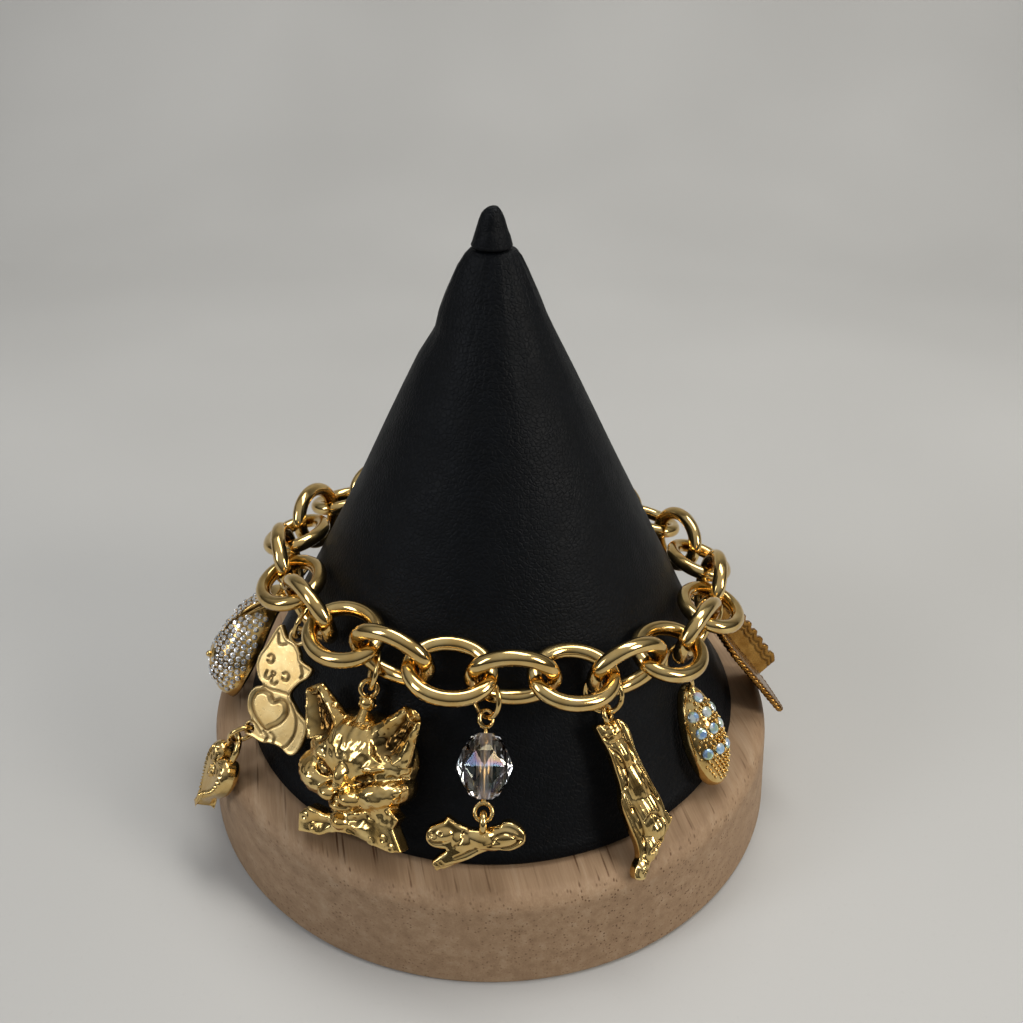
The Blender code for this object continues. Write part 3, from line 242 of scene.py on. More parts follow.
def make_bamboo():
    """Laminated bamboo with fibres along one direction."""
    material, tree, place = start_material("bamboo")
    turned = add(tree, "ShaderNodeMapping", {"vector_type": "POINT"},
                 {"Vector": place, "Rotation": (0.0, 0.0, -GRAIN_TURN)}).outputs["Vector"]
    stretched = add(tree, "ShaderNodeMapping", {"vector_type": "POINT"},
                    {"Vector": turned, "Scale": (1.0, 0.045, 1.0)}).outputs["Vector"]
    axes = add(tree, "ShaderNodeSeparateXYZ", inputs={"Vector": turned})
    strips = maths(tree, "SNAP", axes.outputs["X"], STRIP_MM * MM)
    layers = maths(tree, "SNAP", axes.outputs["Z"], LAYER_MM * MM)
    strip_at = add(tree, "ShaderNodeCombineXYZ", inputs={"X": strips, "Y": layers})
    strip_tone = add(tree, "ShaderNodeTexWhiteNoise", {"noise_dimensions": "3D"},
                     {"Vector": strip_at.outputs["Vector"]}).outputs["Value"]
    broad = cloud(tree, stretched, 1.7, 4.0, 0.6)
    tone = ramp(tree, broad, ((0.25, "#8C7054"), (0.55, "#A68A6C"), (0.8, "#B8A084")))
    tone = blend(tree, span(tree, strip_tone, 0.0, 1.0, 0.0, 0.30), tone, colour("#8F7356"))
    fibres = add(tree, "ShaderNodeTexVoronoi", {"feature": "F1"},
                 {"Vector": stretched, "Scale": 1 / (0.46 * MM), "Randomness": 1.0})
    chosen = add(tree, "ShaderNodeSeparateColor", inputs={"Color": fibres.outputs["Color"]})
    bundle = span(tree, fibres.outputs["Distance"], 0.16, 0.36, 1.0, 0.0)
    rare = span(tree, chosen.outputs[0], 0.40, 0.60, 0.0, 1.0)
    streak = maths(tree, "MULTIPLY", bundle, rare)
    patch = span(tree, cloud(tree, turned, 16.0, 2.0), 0.42, 0.62, 0.30, 0.95)
    streak = maths(tree, "MULTIPLY", streak, patch)
    tone = blend(tree, streak, tone, colour("#5E3F28"))
    hair = span(tree, cloud(tree, stretched, 0.24, 3.0, 0.7), 0.35, 0.65, 0.0, 0.22)
    tone = blend(tree, hair, tone, colour("#6E5138"))
    height = maths(tree, "SUBTRACT", broad, streak)
    rough = span(tree, broad, 0.3, 0.7, 0.62, 0.74)
    finish_material(tree, {"Base Color": tone, "Roughness": rough, "Specular IOR Level": 0.35},
                    height, 0.05)
    return material


LEATHER = make_leather()
BAMBOO = make_bamboo()
print("leather and bamboo ready")

# %% [markdown]
# Meshes are built in millimetres in a charm's own frame: X to its right, Z up and -Y towards
# the one who looks at it. They are scaled to metres when they are put in place.


# %% Mesh tools
def mesh_of(points, faces, smooth=True):
    """A mesh from points and faces."""
    mesh = bpy.data.meshes.new("shape")
    mesh.from_pydata([tuple(p) for p in points], [], faces)
    bm = bmesh.new()
    bm.from_mesh(mesh)
    bmesh.ops.recalc_face_normals(bm, faces=bm.faces)
    bm.to_mesh(mesh)
    bm.free()
    if smooth:
        mesh.shade_smooth()
    return mesh


def mesh_from(bm):
    """The mesh of what was gathered, which is then let go."""
    mesh = bpy.data.meshes.new("shape")
    bm.to_mesh(mesh)
    bm.free()
    return mesh


def joined(meshes):
    """Several meshes as one."""
    bm = bmesh.new()
    for mesh in meshes:
        bm.from_mesh(mesh)
    return mesh_from(bm)


def turn_by(degrees, axis):
    """A turn about an axis."""
    return Matrix.Rotation(math.radians(degrees), 4, axis)


def moved(mesh, matrix):
    """A copy of a mesh in another place."""
    copy = mesh.copy()
    copy.transform(matrix)
    return copy


def tube(path, radius, sides, closed=True):
    """Round wire along a path; radius is one value or one for each point."""
    path = np.asarray(path, float)
    count = len(path)
    radii = np.broadcast_to(radius, (count,))
    if closed:
        ahead = np.roll(path, -1, 0) - np.roll(path, 1, 0)
    else:
        ahead = np.gradient(path, axis=0)
    ahead /= np.linalg.norm(ahead, axis=1)[:, None]
    flat = np.linalg.svd(path - path.mean(0), full_matrices=False)[2][-1]
    if abs(ahead @ flat).max() > 0.9:
        flat = np.array([0.0, 1.0, 0.0])
    first = flat - ahead * (ahead @ flat)[:, None]
    first /= np.linalg.norm(first, axis=1)[:, None]
    second = np.cross(ahead, first)
    turns = 2 * np.pi * np.arange(sides) / sides
    cosines, sines = np.cos(turns)[:, None], np.sin(turns)[:, None]
    rows = [path[i] + radii[i] * (cosines * first[i] + sines * second[i]) for i in range(count)]
    points = np.concatenate(rows)
    faces = []
    for i in range(count if closed else count - 1):
        j = (i + 1) % count
        for k in range(sides):
            m = (k + 1) % sides
            faces.append((i * sides + k, i * sides + m, j * sides + m, j * sides + k))
    if not closed:
        faces.append(tuple(range(sides)))
        faces.append(tuple((count - 1) * sides + k for k in reversed(range(sides))))
    return mesh_of(points, faces)


def oval(half_long, half_wide, wire, count=72, sides=18):
    """A closed oval of round wire in the XZ plane."""
    turns = np.linspace(0, 2 * np.pi, count, endpoint=False)
    path = np.stack([half_long * np.cos(turns), 0 * turns, half_wide * np.sin(turns)], 1)
    return tube(path, wire / 2, sides)


def add_lump(bm, centre, radii, turn=0.0, segments=24):
    """Add an ellipsoid, turned by degrees about Y."""
    made = bmesh.ops.create_uvsphere(bm, u_segments=segments, v_segments=segments // 2, radius=1.0)
    matrix = Matrix.Translation(centre) @ turn_by(turn, "Y") @ Matrix.Diagonal((*radii, 1.0))
    bmesh.ops.transform(bm, matrix=matrix, verts=made["verts"])


def add_bar(bm, start, end, first, last, squash=1.0):
    """Add a round bar that tapers from one point to another, flattened along Y."""
    start, end = Vector(start), Vector(end)
    made = bmesh.ops.create_cone(bm, cap_ends=True, segments=20, radius1=first, radius2=last,
                                 depth=(end - start).length)
    turn = (end - start).to_track_quat("Z", "Y").to_matrix().to_4x4()
    matrix = Matrix.Translation((start + end) / 2) @ Matrix.Diagonal((1, squash, 1, 1)) @ turn
    bmesh.ops.transform(bm, matrix=matrix, verts=made["verts"])


def evaluated(mesh, *modifiers):
    """The mesh after modifiers, each given as (type, settings)."""
    helper = bpy.data.objects.new("helper", mesh)
    bpy.context.scene.collection.objects.link(helper)
    for kind, settings in modifiers:
        modifier = helper.modifiers.new(kind.lower(), kind)
        for key, value in settings.items():
            setattr(modifier, key, value)
    bpy.context.view_layer.update()
    graph = bpy.context.evaluated_depsgraph_get()
    made = bpy.data.meshes.new_from_object(helper.evaluated_get(graph), depsgraph=graph)
    bpy.data.objects.remove(helper)
    made.shade_smooth()
    return made


def melted(mesh, grain, softness):
    """Overlapping solids melted into one casting with an even mesh of about grain mm."""
    return evaluated(mesh, ("REMESH", {"mode": "VOXEL", "voxel_size": grain}),
                     ("SMOOTH", {"factor": 0.5, "iterations": softness}))


def cut(mesh, cutter):
    """A mesh less another."""
    helper = bpy.data.objects.new("cutter", cutter)
    bpy.context.scene.collection.objects.link(helper)
    settings = {"operation": "DIFFERENCE", "object": helper, "solver": "EXACT"}
    made = evaluated(mesh, ("BOOLEAN", settings))
    bpy.data.objects.remove(helper)
    return made


def reliefed(mesh, shape):
    """Push each point along its normal by shape(points, normals) and store a painted shade there.

    shape returns the push in mm and the amount of painted shade from 0 to 1.
    """
    count = len(mesh.vertices)
    points = np.empty(count * 3)
    normals = np.empty(count * 3)
    mesh.vertices.foreach_get("co", points)
    mesh.vertices.foreach_get("normal", normals)
    points = points.reshape(-1, 3)
    normals = normals.reshape(-1, 3)
    push, cavity_shade = shape(points, normals)
    points = points + normals * push[:, None]
    mesh.vertices.foreach_set("co", points.ravel())
    mesh.update()
    # The stored value is the painted shade that the gold shaders mix in.
    store = mesh.attributes.new("cavity_shade", "FLOAT", "POINT")
    store.data.foreach_set("value", np.clip(cavity_shade, 0, 1).astype(np.float32))
    return mesh


def hills(u, v, w=0.0):
    """Smooth noise from -1 to 1 at each pair of coordinates."""
    return np.array([noise.noise((a, b, w)) for a, b in zip(u, v)])


def line_distance(points, line):
    """Distance in the XZ plane from each point to a broken line."""
    flat = points[:, [0, 2]]
    best = np.full(len(flat), 1e9)
    line = np.asarray(line, float)
    for a, b in zip(line[:-1], line[1:]):
        edge = b - a
        along = np.clip(((flat - a) @ edge) / max(edge @ edge, 1e-12), 0, 1)
        gap = np.linalg.norm(flat - a - along[:, None] * edge, axis=1)
        best = np.minimum(best, gap)
    return best


def nearness(points, line, width):
    """1 on a broken line, falling off to both sides of it over a width in mm."""
    return np.exp(-(line_distance(points, line) / width) ** 2)


def dimple(points, spot, spread):
    """1 at an (x, z) spot, falling off round it."""
    return np.exp(-((points[:, 0] - spot[0]) ** 2 + (points[:, 2] - spot[1]) ** 2) / spread)


def closed_up(line):
    """A line with its first point again at its end."""
    return np.vstack([line, line[:1]])


def smooth_line(points, steps=8, closed=False):
    """A smooth line through (x, z) points."""
    points = np.asarray(points, float)
    count = len(points)
    line = []
    for i in range(count if closed else count - 1):
        near = range(i - 1, i + 3)
        pick = [k % count if closed else min(max(k, 0), count - 1) for k in near]
        p0, p1, p2, p3 = points[pick]
        for step in range(steps):
            t = step / steps
            line.append(0.5 * (2 * p1 + (p2 - p0) * t + (2 * p0 - 5 * p1 + 4 * p2 - p3) * t * t
                               + (3 * p1 - p0 - 3 * p2 + p3) * t ** 3))
    line.append(line[0] if closed else points[-1])
    return np.array(line)


def engraved(points, lines, width, depth, dark):
    """The push, and the painted shade in the cuts, that smooth cut lines give."""
    cuts = sum(nearness(points, smooth_line(line, 5), width) for line in lines)
    return -depth * cuts, dark * cuts


def lofted(rows, smooth=True):
    """A closed solid through rows of equally many points."""
    count = len(rows[0])
    points = np.concatenate([np.asarray(row, float) for row in rows])
    faces = []
    for i in range(len(rows) - 1):
        for k in range(count):
            m = (k + 1) % count
            faces.append((i * count + k, i * count + m, (i + 1) * count + m, (i + 1) * count + k))
    faces.append(tuple(range(count)))
    faces.append(tuple((len(rows) - 1) * count + k for k in reversed(range(count))))
    return mesh_of(points, faces, smooth)


def plate(outline, thickness, edge):
    """A flat plate in the XZ plane with rounded edges, from a closed outline."""
    outline = np.asarray(outline, float)
    ahead = np.roll(outline, -1, 0) - np.roll(outline, 1, 0)
    inward = np.stack([-ahead[:, 1], ahead[:, 0]], 1)
    inward /= np.linalg.norm(inward, axis=1)[:, None]
    x, z = outline.T
    if np.sum(x * np.roll(z, -1) - z * np.roll(x, -1)) < 0:
        inward = -inward
    rows = []
    for turn in (0, 30, 60, 90):
        a = math.radians(turn)
        ring = outline + inward * edge * (1 - math.sin(a))
        rows.append(np.insert(ring, 1, -thickness / 2 + edge * (1 - math.cos(a)), axis=1))
    back = [row * [1, -1, 1] for row in reversed(rows)]
    return lofted(rows + back)


def put(name, mesh, matrix, material, slot, *nodes):
    """Show a mesh built in mm as one piece of the object, in place of measured parts."""
    mesh.transform(Matrix.Scale(MM, 4))
    thing = bpy.data.objects.new(name, mesh)
    bpy.context.scene.collection.objects.link(thing)
    thing.matrix_world = matrix
    mesh.materials.clear()
    mesh.materials.append(material)
    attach(thing, "root")
    if nodes:
        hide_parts(*nodes)
    return thing


print("mesh tools ready")

# %% [markdown]
# Each ring and link tells where it sits: the middle of its points, and the three axes along
# which they spread. A charm's frame follows from its ring, because it hangs in the ring's
# lower hollow with its back to the cone's slope.

# %% Where the pieces sit
CONE_RADIUS = 38.0
CONE_HEIGHT = 74.9
CONE_ANGLE = math.atan(CONE_RADIUS / CONE_HEIGHT)
RING_RADIUS, RING_WIRE, RING_PLAY = 2.5, 0.7, 0.22
PADLOCK_RING_RADIUS = 1.8
LOOP_RADIUS, LOOP_WIRE = 1.1, 0.7
RING_TURN = 50.0


def node_points(node):
    """The distinct points of a measured part, in metres."""
    points = np.array([v.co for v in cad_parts[node].data.vertices])
    return np.unique(np.round(points, 7), axis=0)


def cone_axes(azimuth):
    """To the right, out of the cone's side and up its slope, at an azimuth in radians."""
    radial = Vector((math.sin(azimuth), -math.cos(azimuth), 0))
    right = Vector((math.cos(azimuth), math.sin(azimuth), 0))
    up = Vector((0, 0, 1))
    out = math.cos(CONE_ANGLE) * radial + math.sin(CONE_ANGLE) * up
    slope = math.cos(CONE_ANGLE) * up - math.sin(CONE_ANGLE) * radial
    return right, out, slope


def axes_matrix(origin, x_axis, z_axis):
    """A placing matrix from an origin and two square axes."""
    matrix = Matrix((x_axis, z_axis.cross(x_axis), z_axis)).transposed().to_4x4()
    matrix.translation = origin
    return matrix


def node_frame(node):
    """A link's or ring's middle, with its longest spread as X and its second as Z, upwards."""
    points = node_points(node)
    middle = points.mean(0)
    spread = np.linalg.svd(points - middle, full_matrices=False)[2]
    x_axis, z_axis = Vector(spread[0]), Vector(spread[1])
    return axes_matrix(Vector(middle), x_axis, -z_axis if z_axis.z < 0 else z_axis)


def hung(point, azimuth, yaw=0.0, roll=0.0, lean=0.0):
    """A charm's frame where it hangs, turned to the side, in its plane and outward."""
    right, _, slope = cone_axes(azimuth)
    placed = axes_matrix(point, right, slope)
    return placed @ turn_by(yaw, "Z") @ turn_by(-lean, "X") @ turn_by(-roll, "Y")


def ring_hang(node):
    """The point where a charm hangs in its ring, and the azimuth there."""
    centre = Vector(node_points(node).mean(0))
    azimuth = math.atan2(centre.x, -centre.y)
    reach = (RING_RADIUS - RING_WIRE - RING_PLAY + LOOP_RADIUS) * MM
    return centre - cone_axes(azimuth)[2] * reach, azimuth


def hanging_loop(yaw=0.0, ring_turn=-RING_TURN):
    """The small loop of a charm, square to the jump ring in it."""
    loop = oval(LOOP_RADIUS, LOOP_RADIUS, LOOP_WIRE, 40, 14)
    return moved(loop, turn_by(90 + ring_turn - yaw, "Z"))


for node in ("fish_ring", "head_ring", "crystal_ring", "egg_ring"):
    print(node, "azimuth", round(math.degrees(ring_hang(node)[1]), 1))

# %% [markdown]
# The chain: two dozen smooth oval links, the clasp behind the cone, and nine jump rings that
# are each a full turn of thin wire with a fine seam.

# %% Chain and rings
LINK_HALF_LENGTH, LINK_HALF_WIDTH, LINK_WIRE = 5.15, 4.1, 2.1
link_nodes = sorted(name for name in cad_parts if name.startswith("link_"))
for node in link_nodes:
    link = oval(LINK_HALF_LENGTH, LINK_HALF_WIDTH, LINK_WIRE)
    put("chain_" + node, link, node_frame(node), GOLD, "gold", node)


def ring_with_seam(radius, wire):
    """A jump ring whose ends meet in a fine seam."""
    turns = np.linspace(0, 2 * np.pi, 60, endpoint=False)
    seam = 1 - 0.14 * np.exp(-((turns - 2.2) / 0.05) ** 2)
    path = np.stack([radius * np.cos(turns), 0 * turns, radius * np.sin(turns)], 1)
    return tube(path, wire / 2 * seam, 14)


ring_nodes = sorted(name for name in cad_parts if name.endswith("_ring"))
for node in ring_nodes:
    size = PADLOCK_RING_RADIUS if node == "padlock_ring" else RING_RADIUS
    put("jump_" + node, ring_with_seam(size, RING_WIRE), node_frame(node), GOLD, "gold", node)

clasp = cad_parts["clasp"].data.copy()
clasp.transform(Matrix.Scale(1 / MM, 4))
clasp = melted(clasp, 0.16, 6)
put("smooth_clasp", clasp, Matrix.Identity(4), GOLD, "gold", "clasp")
print("links:", len(link_nodes), "rings:", len(ring_nodes))

# %% [markdown]
# The stand: a bamboo disc with eased edges, and a cone in black leather. The leather was drawn
# over by hand: it stands off a little at the left near the top, and it has soft bumps, a seam
# down its back and a rounded cap at the tip.

# %% Display stand
BASE_TOP, BASE_FOOT, BASE_HIGH = 43.6, 44.7, 14.6
TOP_EDGE, FOOT_EDGE = 2.4, 0.8
SEAT, HEM = 0.2, 1.8
TIP_HIGH, TIP_SHIFT = 4.6, -0.65
AXIS = 0.05


def revolved(profile, steps):
    """A solid of revolution from (radius, height) rows, closed at both ends."""
    turns = np.linspace(0, 2 * np.pi, steps, endpoint=False)
    rows = [np.stack([r * np.cos(turns), r * np.sin(turns), 0 * turns + z], 1) for r, z in profile]
    return lofted(rows)


quarter = [math.radians(a) for a in range(0, 91, 10)]
profile = [(r, BASE_HIGH) for r in (AXIS, 12, 24, 34, 39)]
profile += [(BASE_TOP - TOP_EDGE + TOP_EDGE * math.sin(a),
             BASE_HIGH - TOP_EDGE + TOP_EDGE * math.cos(a)) for a in quarter]
profile += [(BASE_FOOT - FOOT_EDGE + FOOT_EDGE * math.cos(a),
             FOOT_EDGE - FOOT_EDGE * math.sin(a)) for a in quarter]
profile += [(20, 0.0), (AXIS, 0.0)]
put("bamboo_disc", revolved(profile, 160), Matrix.Identity(4), BAMBOO, "wood", "bamboo_base")

slope_share = CONE_RADIUS / CONE_HEIGHT
foot = BASE_HIGH + SEAT
top = BASE_HIGH + CONE_HEIGHT - TIP_HIGH
side_high = top - foot - HEM
neck = TIP_HIGH * slope_share
profile = [(AXIS, top), (neck - 0.25, top), (neck, top - 0.25)]
for share in np.linspace(0, 1, 90)[1:]:
    profile.append((neck + side_high * slope_share * share, top - side_high * share))
profile += [(CONE_RADIUS, foot + 0.6), (CONE_RADIUS - 0.2, foot + 0.2),
            (CONE_RADIUS - 0.6, foot), (AXIS, foot)]

BULGE, SPREAD = 1.6, 50.0
# Columns: share of the way down the side, and how far the leather stands out on the left and
# on the right, as shares of its greatest bulge.
slack = np.array((
    (0.0, 0.80, 0.25), (0.035, 0.98, 0.28), (0.086, 0.84, 0.19), (0.123, 0.62, 0.03),
    (0.16, 0.20, 0.0), (0.218, 0.47, 0.0), (0.31, 0.34, 0.0), (0.50, 0.06, 0.0), (1.0, 0.0, 0.0)))


def slackened(mesh):
    """The cone with its leather standing off at the sides."""
    for point in mesh.vertices:
        radius = math.hypot(point.co.x, point.co.y)
        if radius < neck / 2 or point.co.z < foot + 1.2:
            continue
        share = (top - point.co.z) / side_high
        bulge = 0.0
        for column, middle in ((1, -90), (2, 90)):
            away = math.degrees(math.atan2(point.co.x, -point.co.y)) - middle
            away = (away + 180) % 360 - 180
            reach = BULGE * np.interp(share, slack[:, 0], slack[:, column])
            bulge += reach * math.exp(-(away / SPREAD) ** 2)
        point.co.x *= (radius + bulge) / radius
        point.co.y *= (radius + bulge) / radius
    mesh.update()
    return mesh


def leather_form(points, _):
    """Soft bumps in the leather, faint creases down from the tip and a seam down the back."""
    azimuth = np.arctan2(points[:, 0], -points[:, 1])
    height = points[:, 2]
    push = 0.08 * hills(azimuth * 2.5, height / 14) + 0.04 * hills(azimuth * 9, height / 5, 7.0)
    near_tip = np.clip((height - 66) / 16, 0, 1)
    push += 0.10 * near_tip * hills(azimuth * 5.0, height / 30, 2.0)
    seam = np.abs(np.abs(azimuth) - math.pi) * (BASE_HIGH + CONE_HEIGHT - height) * slope_share
    push -= 0.18 * np.exp(-(seam / 0.5) ** 2)
    side = (height > foot + 1.0) & (height < top - 0.3)
    return push * side, np.zeros(len(points))


cone = slackened(revolved(profile, 260))
cone = reliefed(cone, leather_form)
put("leather_cover", cone, Matrix.Identity(4), LEATHER, "leather", "leather_cone")

TIP_RADIUS, TIP_TALL = neck + 0.45, TIP_HIGH + 0.6
# Columns: radius and height as shares.
tip_rows = ((0.02, 1.0), (0.27, 0.97), (0.48, 0.84), (0.61, 0.68), (0.71, 0.50), (0.81, 0.33),
            (0.90, 0.17), (0.96, 0.05), (0.90, 0.0), (0.02, 0.0))
tip = melted(revolved([(r * TIP_RADIUS, z * TIP_TALL) for r, z in tip_rows], 64), 0.11, 3)


def tip_fold(points, _):
    """The fold that wraps round the tip, its small raised end and the crease under it."""
    azimuth = np.arctan2(points[:, 0], -points[:, 1])
    edge = 1.2 + 1.1 * np.sin(azimuth + 0.9)
    lap = 1 / (1 + np.exp(-(points[:, 2] - edge) * 9))
    side = (points[:, 2] > 0.25) & (points[:, 2] < TIP_HIGH)
    crease = np.exp(-((azimuth - 0.45) * 2.2) ** 2) * np.exp(-((points[:, 2] - 2.6) / 1.6) ** 2)
    push = (-0.08 * lap + 0.03 - 0.14 * crease) * side
    push -= 0.15 * dimple(points, (-0.7, 5.0), 0.4)
    return push, np.zeros(len(points))


tip = reliefed(tip, tip_fold)
tip_at = Matrix.Translation((TIP_SHIFT * MM, 0, (top + SEAT) * MM))
put("folded_tip", tip, tip_at, LEATHER, "leather", "leather_tip")
print("stand ready")

# %% [markdown]
# Cut stones: a flat table, a crown of slanted facets, a girdle and a pointed underside.
# They are set on a surface by looking straight back at it and standing them on its normal.


# %% Stone setting
IN_FRONT = -30.0


def brilliant(width, sides=10):
    """A round cut stone, its table towards +Z."""
    turns = 2 * np.pi * np.arange(sides) / sides
    rows = []
    # Columns: radius and height as shares of the width, and a turn as a share of one side.
    for radius, height, shift in ((0.02, -0.32, 0), (0.36, -0.16, 0), (0.5, 0.0, 0.5),
                                  (0.5, 0.04, 0.5), (0.42, 0.13, 0), (0.28, 0.20, 0.5)):
        a = turns + shift * 2 * np.pi / sides
        rows.append(np.stack([radius * width * np.cos(a), radius * width * np.sin(a),
                              0 * a + height * width], 1))
    return lofted(rows, smooth=False)


def bead(radius, segments):
    """A small round bead of metal."""
    bm = bmesh.new()
    bmesh.ops.create_uvsphere(bm, u_segments=segments, v_segments=segments // 2 + 1, radius=radius)
    mesh = mesh_from(bm)
    mesh.shade_smooth()
    return mesh


def surface_of(mesh):
    """A search tree for finding a surface."""
    return BVHTree.FromPolygons([v.co.copy() for v in mesh.vertices],
                                [tuple(p.vertices) for p in mesh.polygons])


def front_of(tree, x, z):
    """Where a straight look from the front meets a surface, and the normal there."""
    spot, normal, _, _ = tree.ray_cast(Vector((x, IN_FRONT, z)), Vector((0, 1, 0)))
    if spot is None:
        return None
    return spot, (normal if normal.y < 0 else -normal)


def stand_on(spot, normal, sink=0.0):
    """A matrix that stands a stone on a surface."""
    turn = normal.to_track_quat("Z", "Y").to_matrix().to_4x4()
    return Matrix.Translation(spot - normal * sink) @ turn


def domed(outline, centre, depth, wall, rings=22):
    """A hollow dome over an outline: proud towards -Y, open at its back."""
    rim = np.asarray(outline, float) - centre
    inner_share = 1 - wall / np.linalg.norm(rim, axis=1).mean()
    rows = []
    for a in np.linspace(0.02, np.pi / 2, rings):
        ring = centre + rim * math.sin(a)
        rows.append(np.insert(ring, 1, -depth * math.cos(a) * 0.985, axis=1))
    for a in np.linspace(np.pi / 2, 0.02, rings):
        ring = centre + rim * inner_share * math.sin(a)
        rows.append(np.insert(ring, 1, -(depth - wall) * math.cos(a), axis=1))
    return lofted(rows)


print("a stone has", len(brilliant(1.0).polygons), "facets")

# %% [markdown]
# The cat's head is a hollow casting. Its forms are melted together; then fur is combed
# outwards from the nose, the ears are hollowed, and the eyes, nose and mouth are drawn in.

# %% Cat head
WIDE, HIGH, DEEP = 18.4, 13.0, 7.5
BACK = 2.0
WALL = 2.4
CROWN = -LOOP_RADIUS - 2.2 * 0.72
bm = bmesh.new()
# Columns: x, outward, z below the crown, and radii in x, depth and z, as shares; turn about Y.
for x, out, z, rx, ry, rz, turn in (
        (0.00, 0.05, 0.47, 0.45, 0.72, 0.43, 0), (-0.24, 0.20, 0.76, 0.24, 0.62, 0.20, 20),
        (0.24, 0.20, 0.76, 0.24, 0.62, 0.20, -20), (-0.085, 0.50, 0.83, 0.12, 0.42, 0.11, 0),
        (0.085, 0.50, 0.83, 0.12, 0.42, 0.11, 0), (0.00, 0.56, 0.64, 0.065, 0.36, 0.17, 0),
        (0.00, 0.42, 0.93, 0.12, 0.42, 0.09, 0), (-0.20, 0.52, 0.50, 0.11, 0.22, 0.05, 16),
        (0.20, 0.52, 0.50, 0.11, 0.22, 0.05, -16), (-0.30, 0.28, 0.84, 0.13, 0.40, 0.10, 34),
        (0.30, 0.28, 0.84, 0.13, 0.40, 0.10, -34)):
    add_lump(bm, (x * WIDE, BACK - out * DEEP, CROWN - z * HIGH),
             (rx * WIDE, ry * DEEP, rz * HIGH), turn)
for side in (-1, 1):
    add_bar(bm, (side * 0.26 * WIDE, BACK - 0.30 * DEEP, CROWN - 0.30 * HIGH),
            (side * 0.42 * WIDE, BACK - 0.42 * DEEP, CROWN + 0.10 * HIGH),
            0.21 * WIDE, 0.085 * WIDE, 0.55)
BOW_Z = CROWN - 1.12 * HIGH
# The bow's outline: x, and z below the crown, as shares of the width and height.
bow = ((0.363, 0.822), (0.466, 0.916), (0.430, 1.020), (0.525, 1.214), (0.415, 1.254),
       (0.251, 1.240), (0.099, 1.212), (-0.016, 1.240), (-0.150, 1.320), (-0.345, 1.369),
       (-0.360, 1.183), (-0.285, 1.078), (-0.136, 1.094), (0.027, 1.024), (0.196, 0.940))
ribbon = plate([(x * WIDE, CROWN - z * HIGH) for x, z in bow], 0.30 * DEEP, 0.25)
ribbon.transform(Matrix.Translation((0, BACK - 0.45 * DEEP, 0)))
bm.from_mesh(ribbon)
add_lump(bm, (0.03 * WIDE, BACK - 0.38 * DEEP, CROWN - 1.02 * HIGH),
         (0.20 * WIDE, 0.20 * DEEP, 0.09 * HIGH))
add_lump(bm, (0, BACK - 0.50 * DEEP, BOW_Z), (0.08 * WIDE, 0.24 * DEEP, 0.09 * HIGH))
add_lump(bm, (0, BACK - 0.40 * DEEP, BOW_Z + 1.4), (2.6, 1.2, 0.9))
head = melted(mesh_from(bm), 0.15, 5)

bm = bmesh.new()
bm.from_mesh(head)
bmesh.ops.bisect_plane(bm, geom=bm.verts[:] + bm.edges[:] + bm.faces[:], plane_co=(0, BACK, 0),
                       plane_no=(0, 1, 0), clear_outer=True)
bmesh.ops.holes_fill(bm, edges=[e for e in bm.edges if e.is_boundary], sides=0)
bm.to_mesh(head)
bm.free()
bm = bmesh.new()
add_lump(bm, (0, BACK + 0.02 * DEEP, CROWN - 0.50 * HIGH),
         (0.45 * WIDE - WALL, 0.77 * DEEP - WALL, 0.43 * HIGH - WALL), 0, 32)
head = cut(head, mesh_from(bm))
FUR_Z, NOSE_Z = -11.8, -12.05
EYE_X, EYE_Z = 3.0, -10.75
# Lines on the face, as (x, z) in mm. The lid is that of the eye on the right.
lid = ((1.7, -11.5), (2.6, -10.5), (3.9, -10.0), (4.3, -10.5), (3.2, -11.4), (1.7, -11.5))
mouth = smooth_line([(-2.3, -14.2), (-1.4, -14.7), (-0.5, -14.3), (0, -13.3), (0.5, -14.3),
                     (1.4, -14.7), (2.3, -14.2)])
bridge_line = [(0, -13.3), (0, -12.5)]
studs = ((-4.0, -19.1), (-5.5, -18.2), (6.8, -17.6), (5.0, -18.4), (8.2, -18.4))


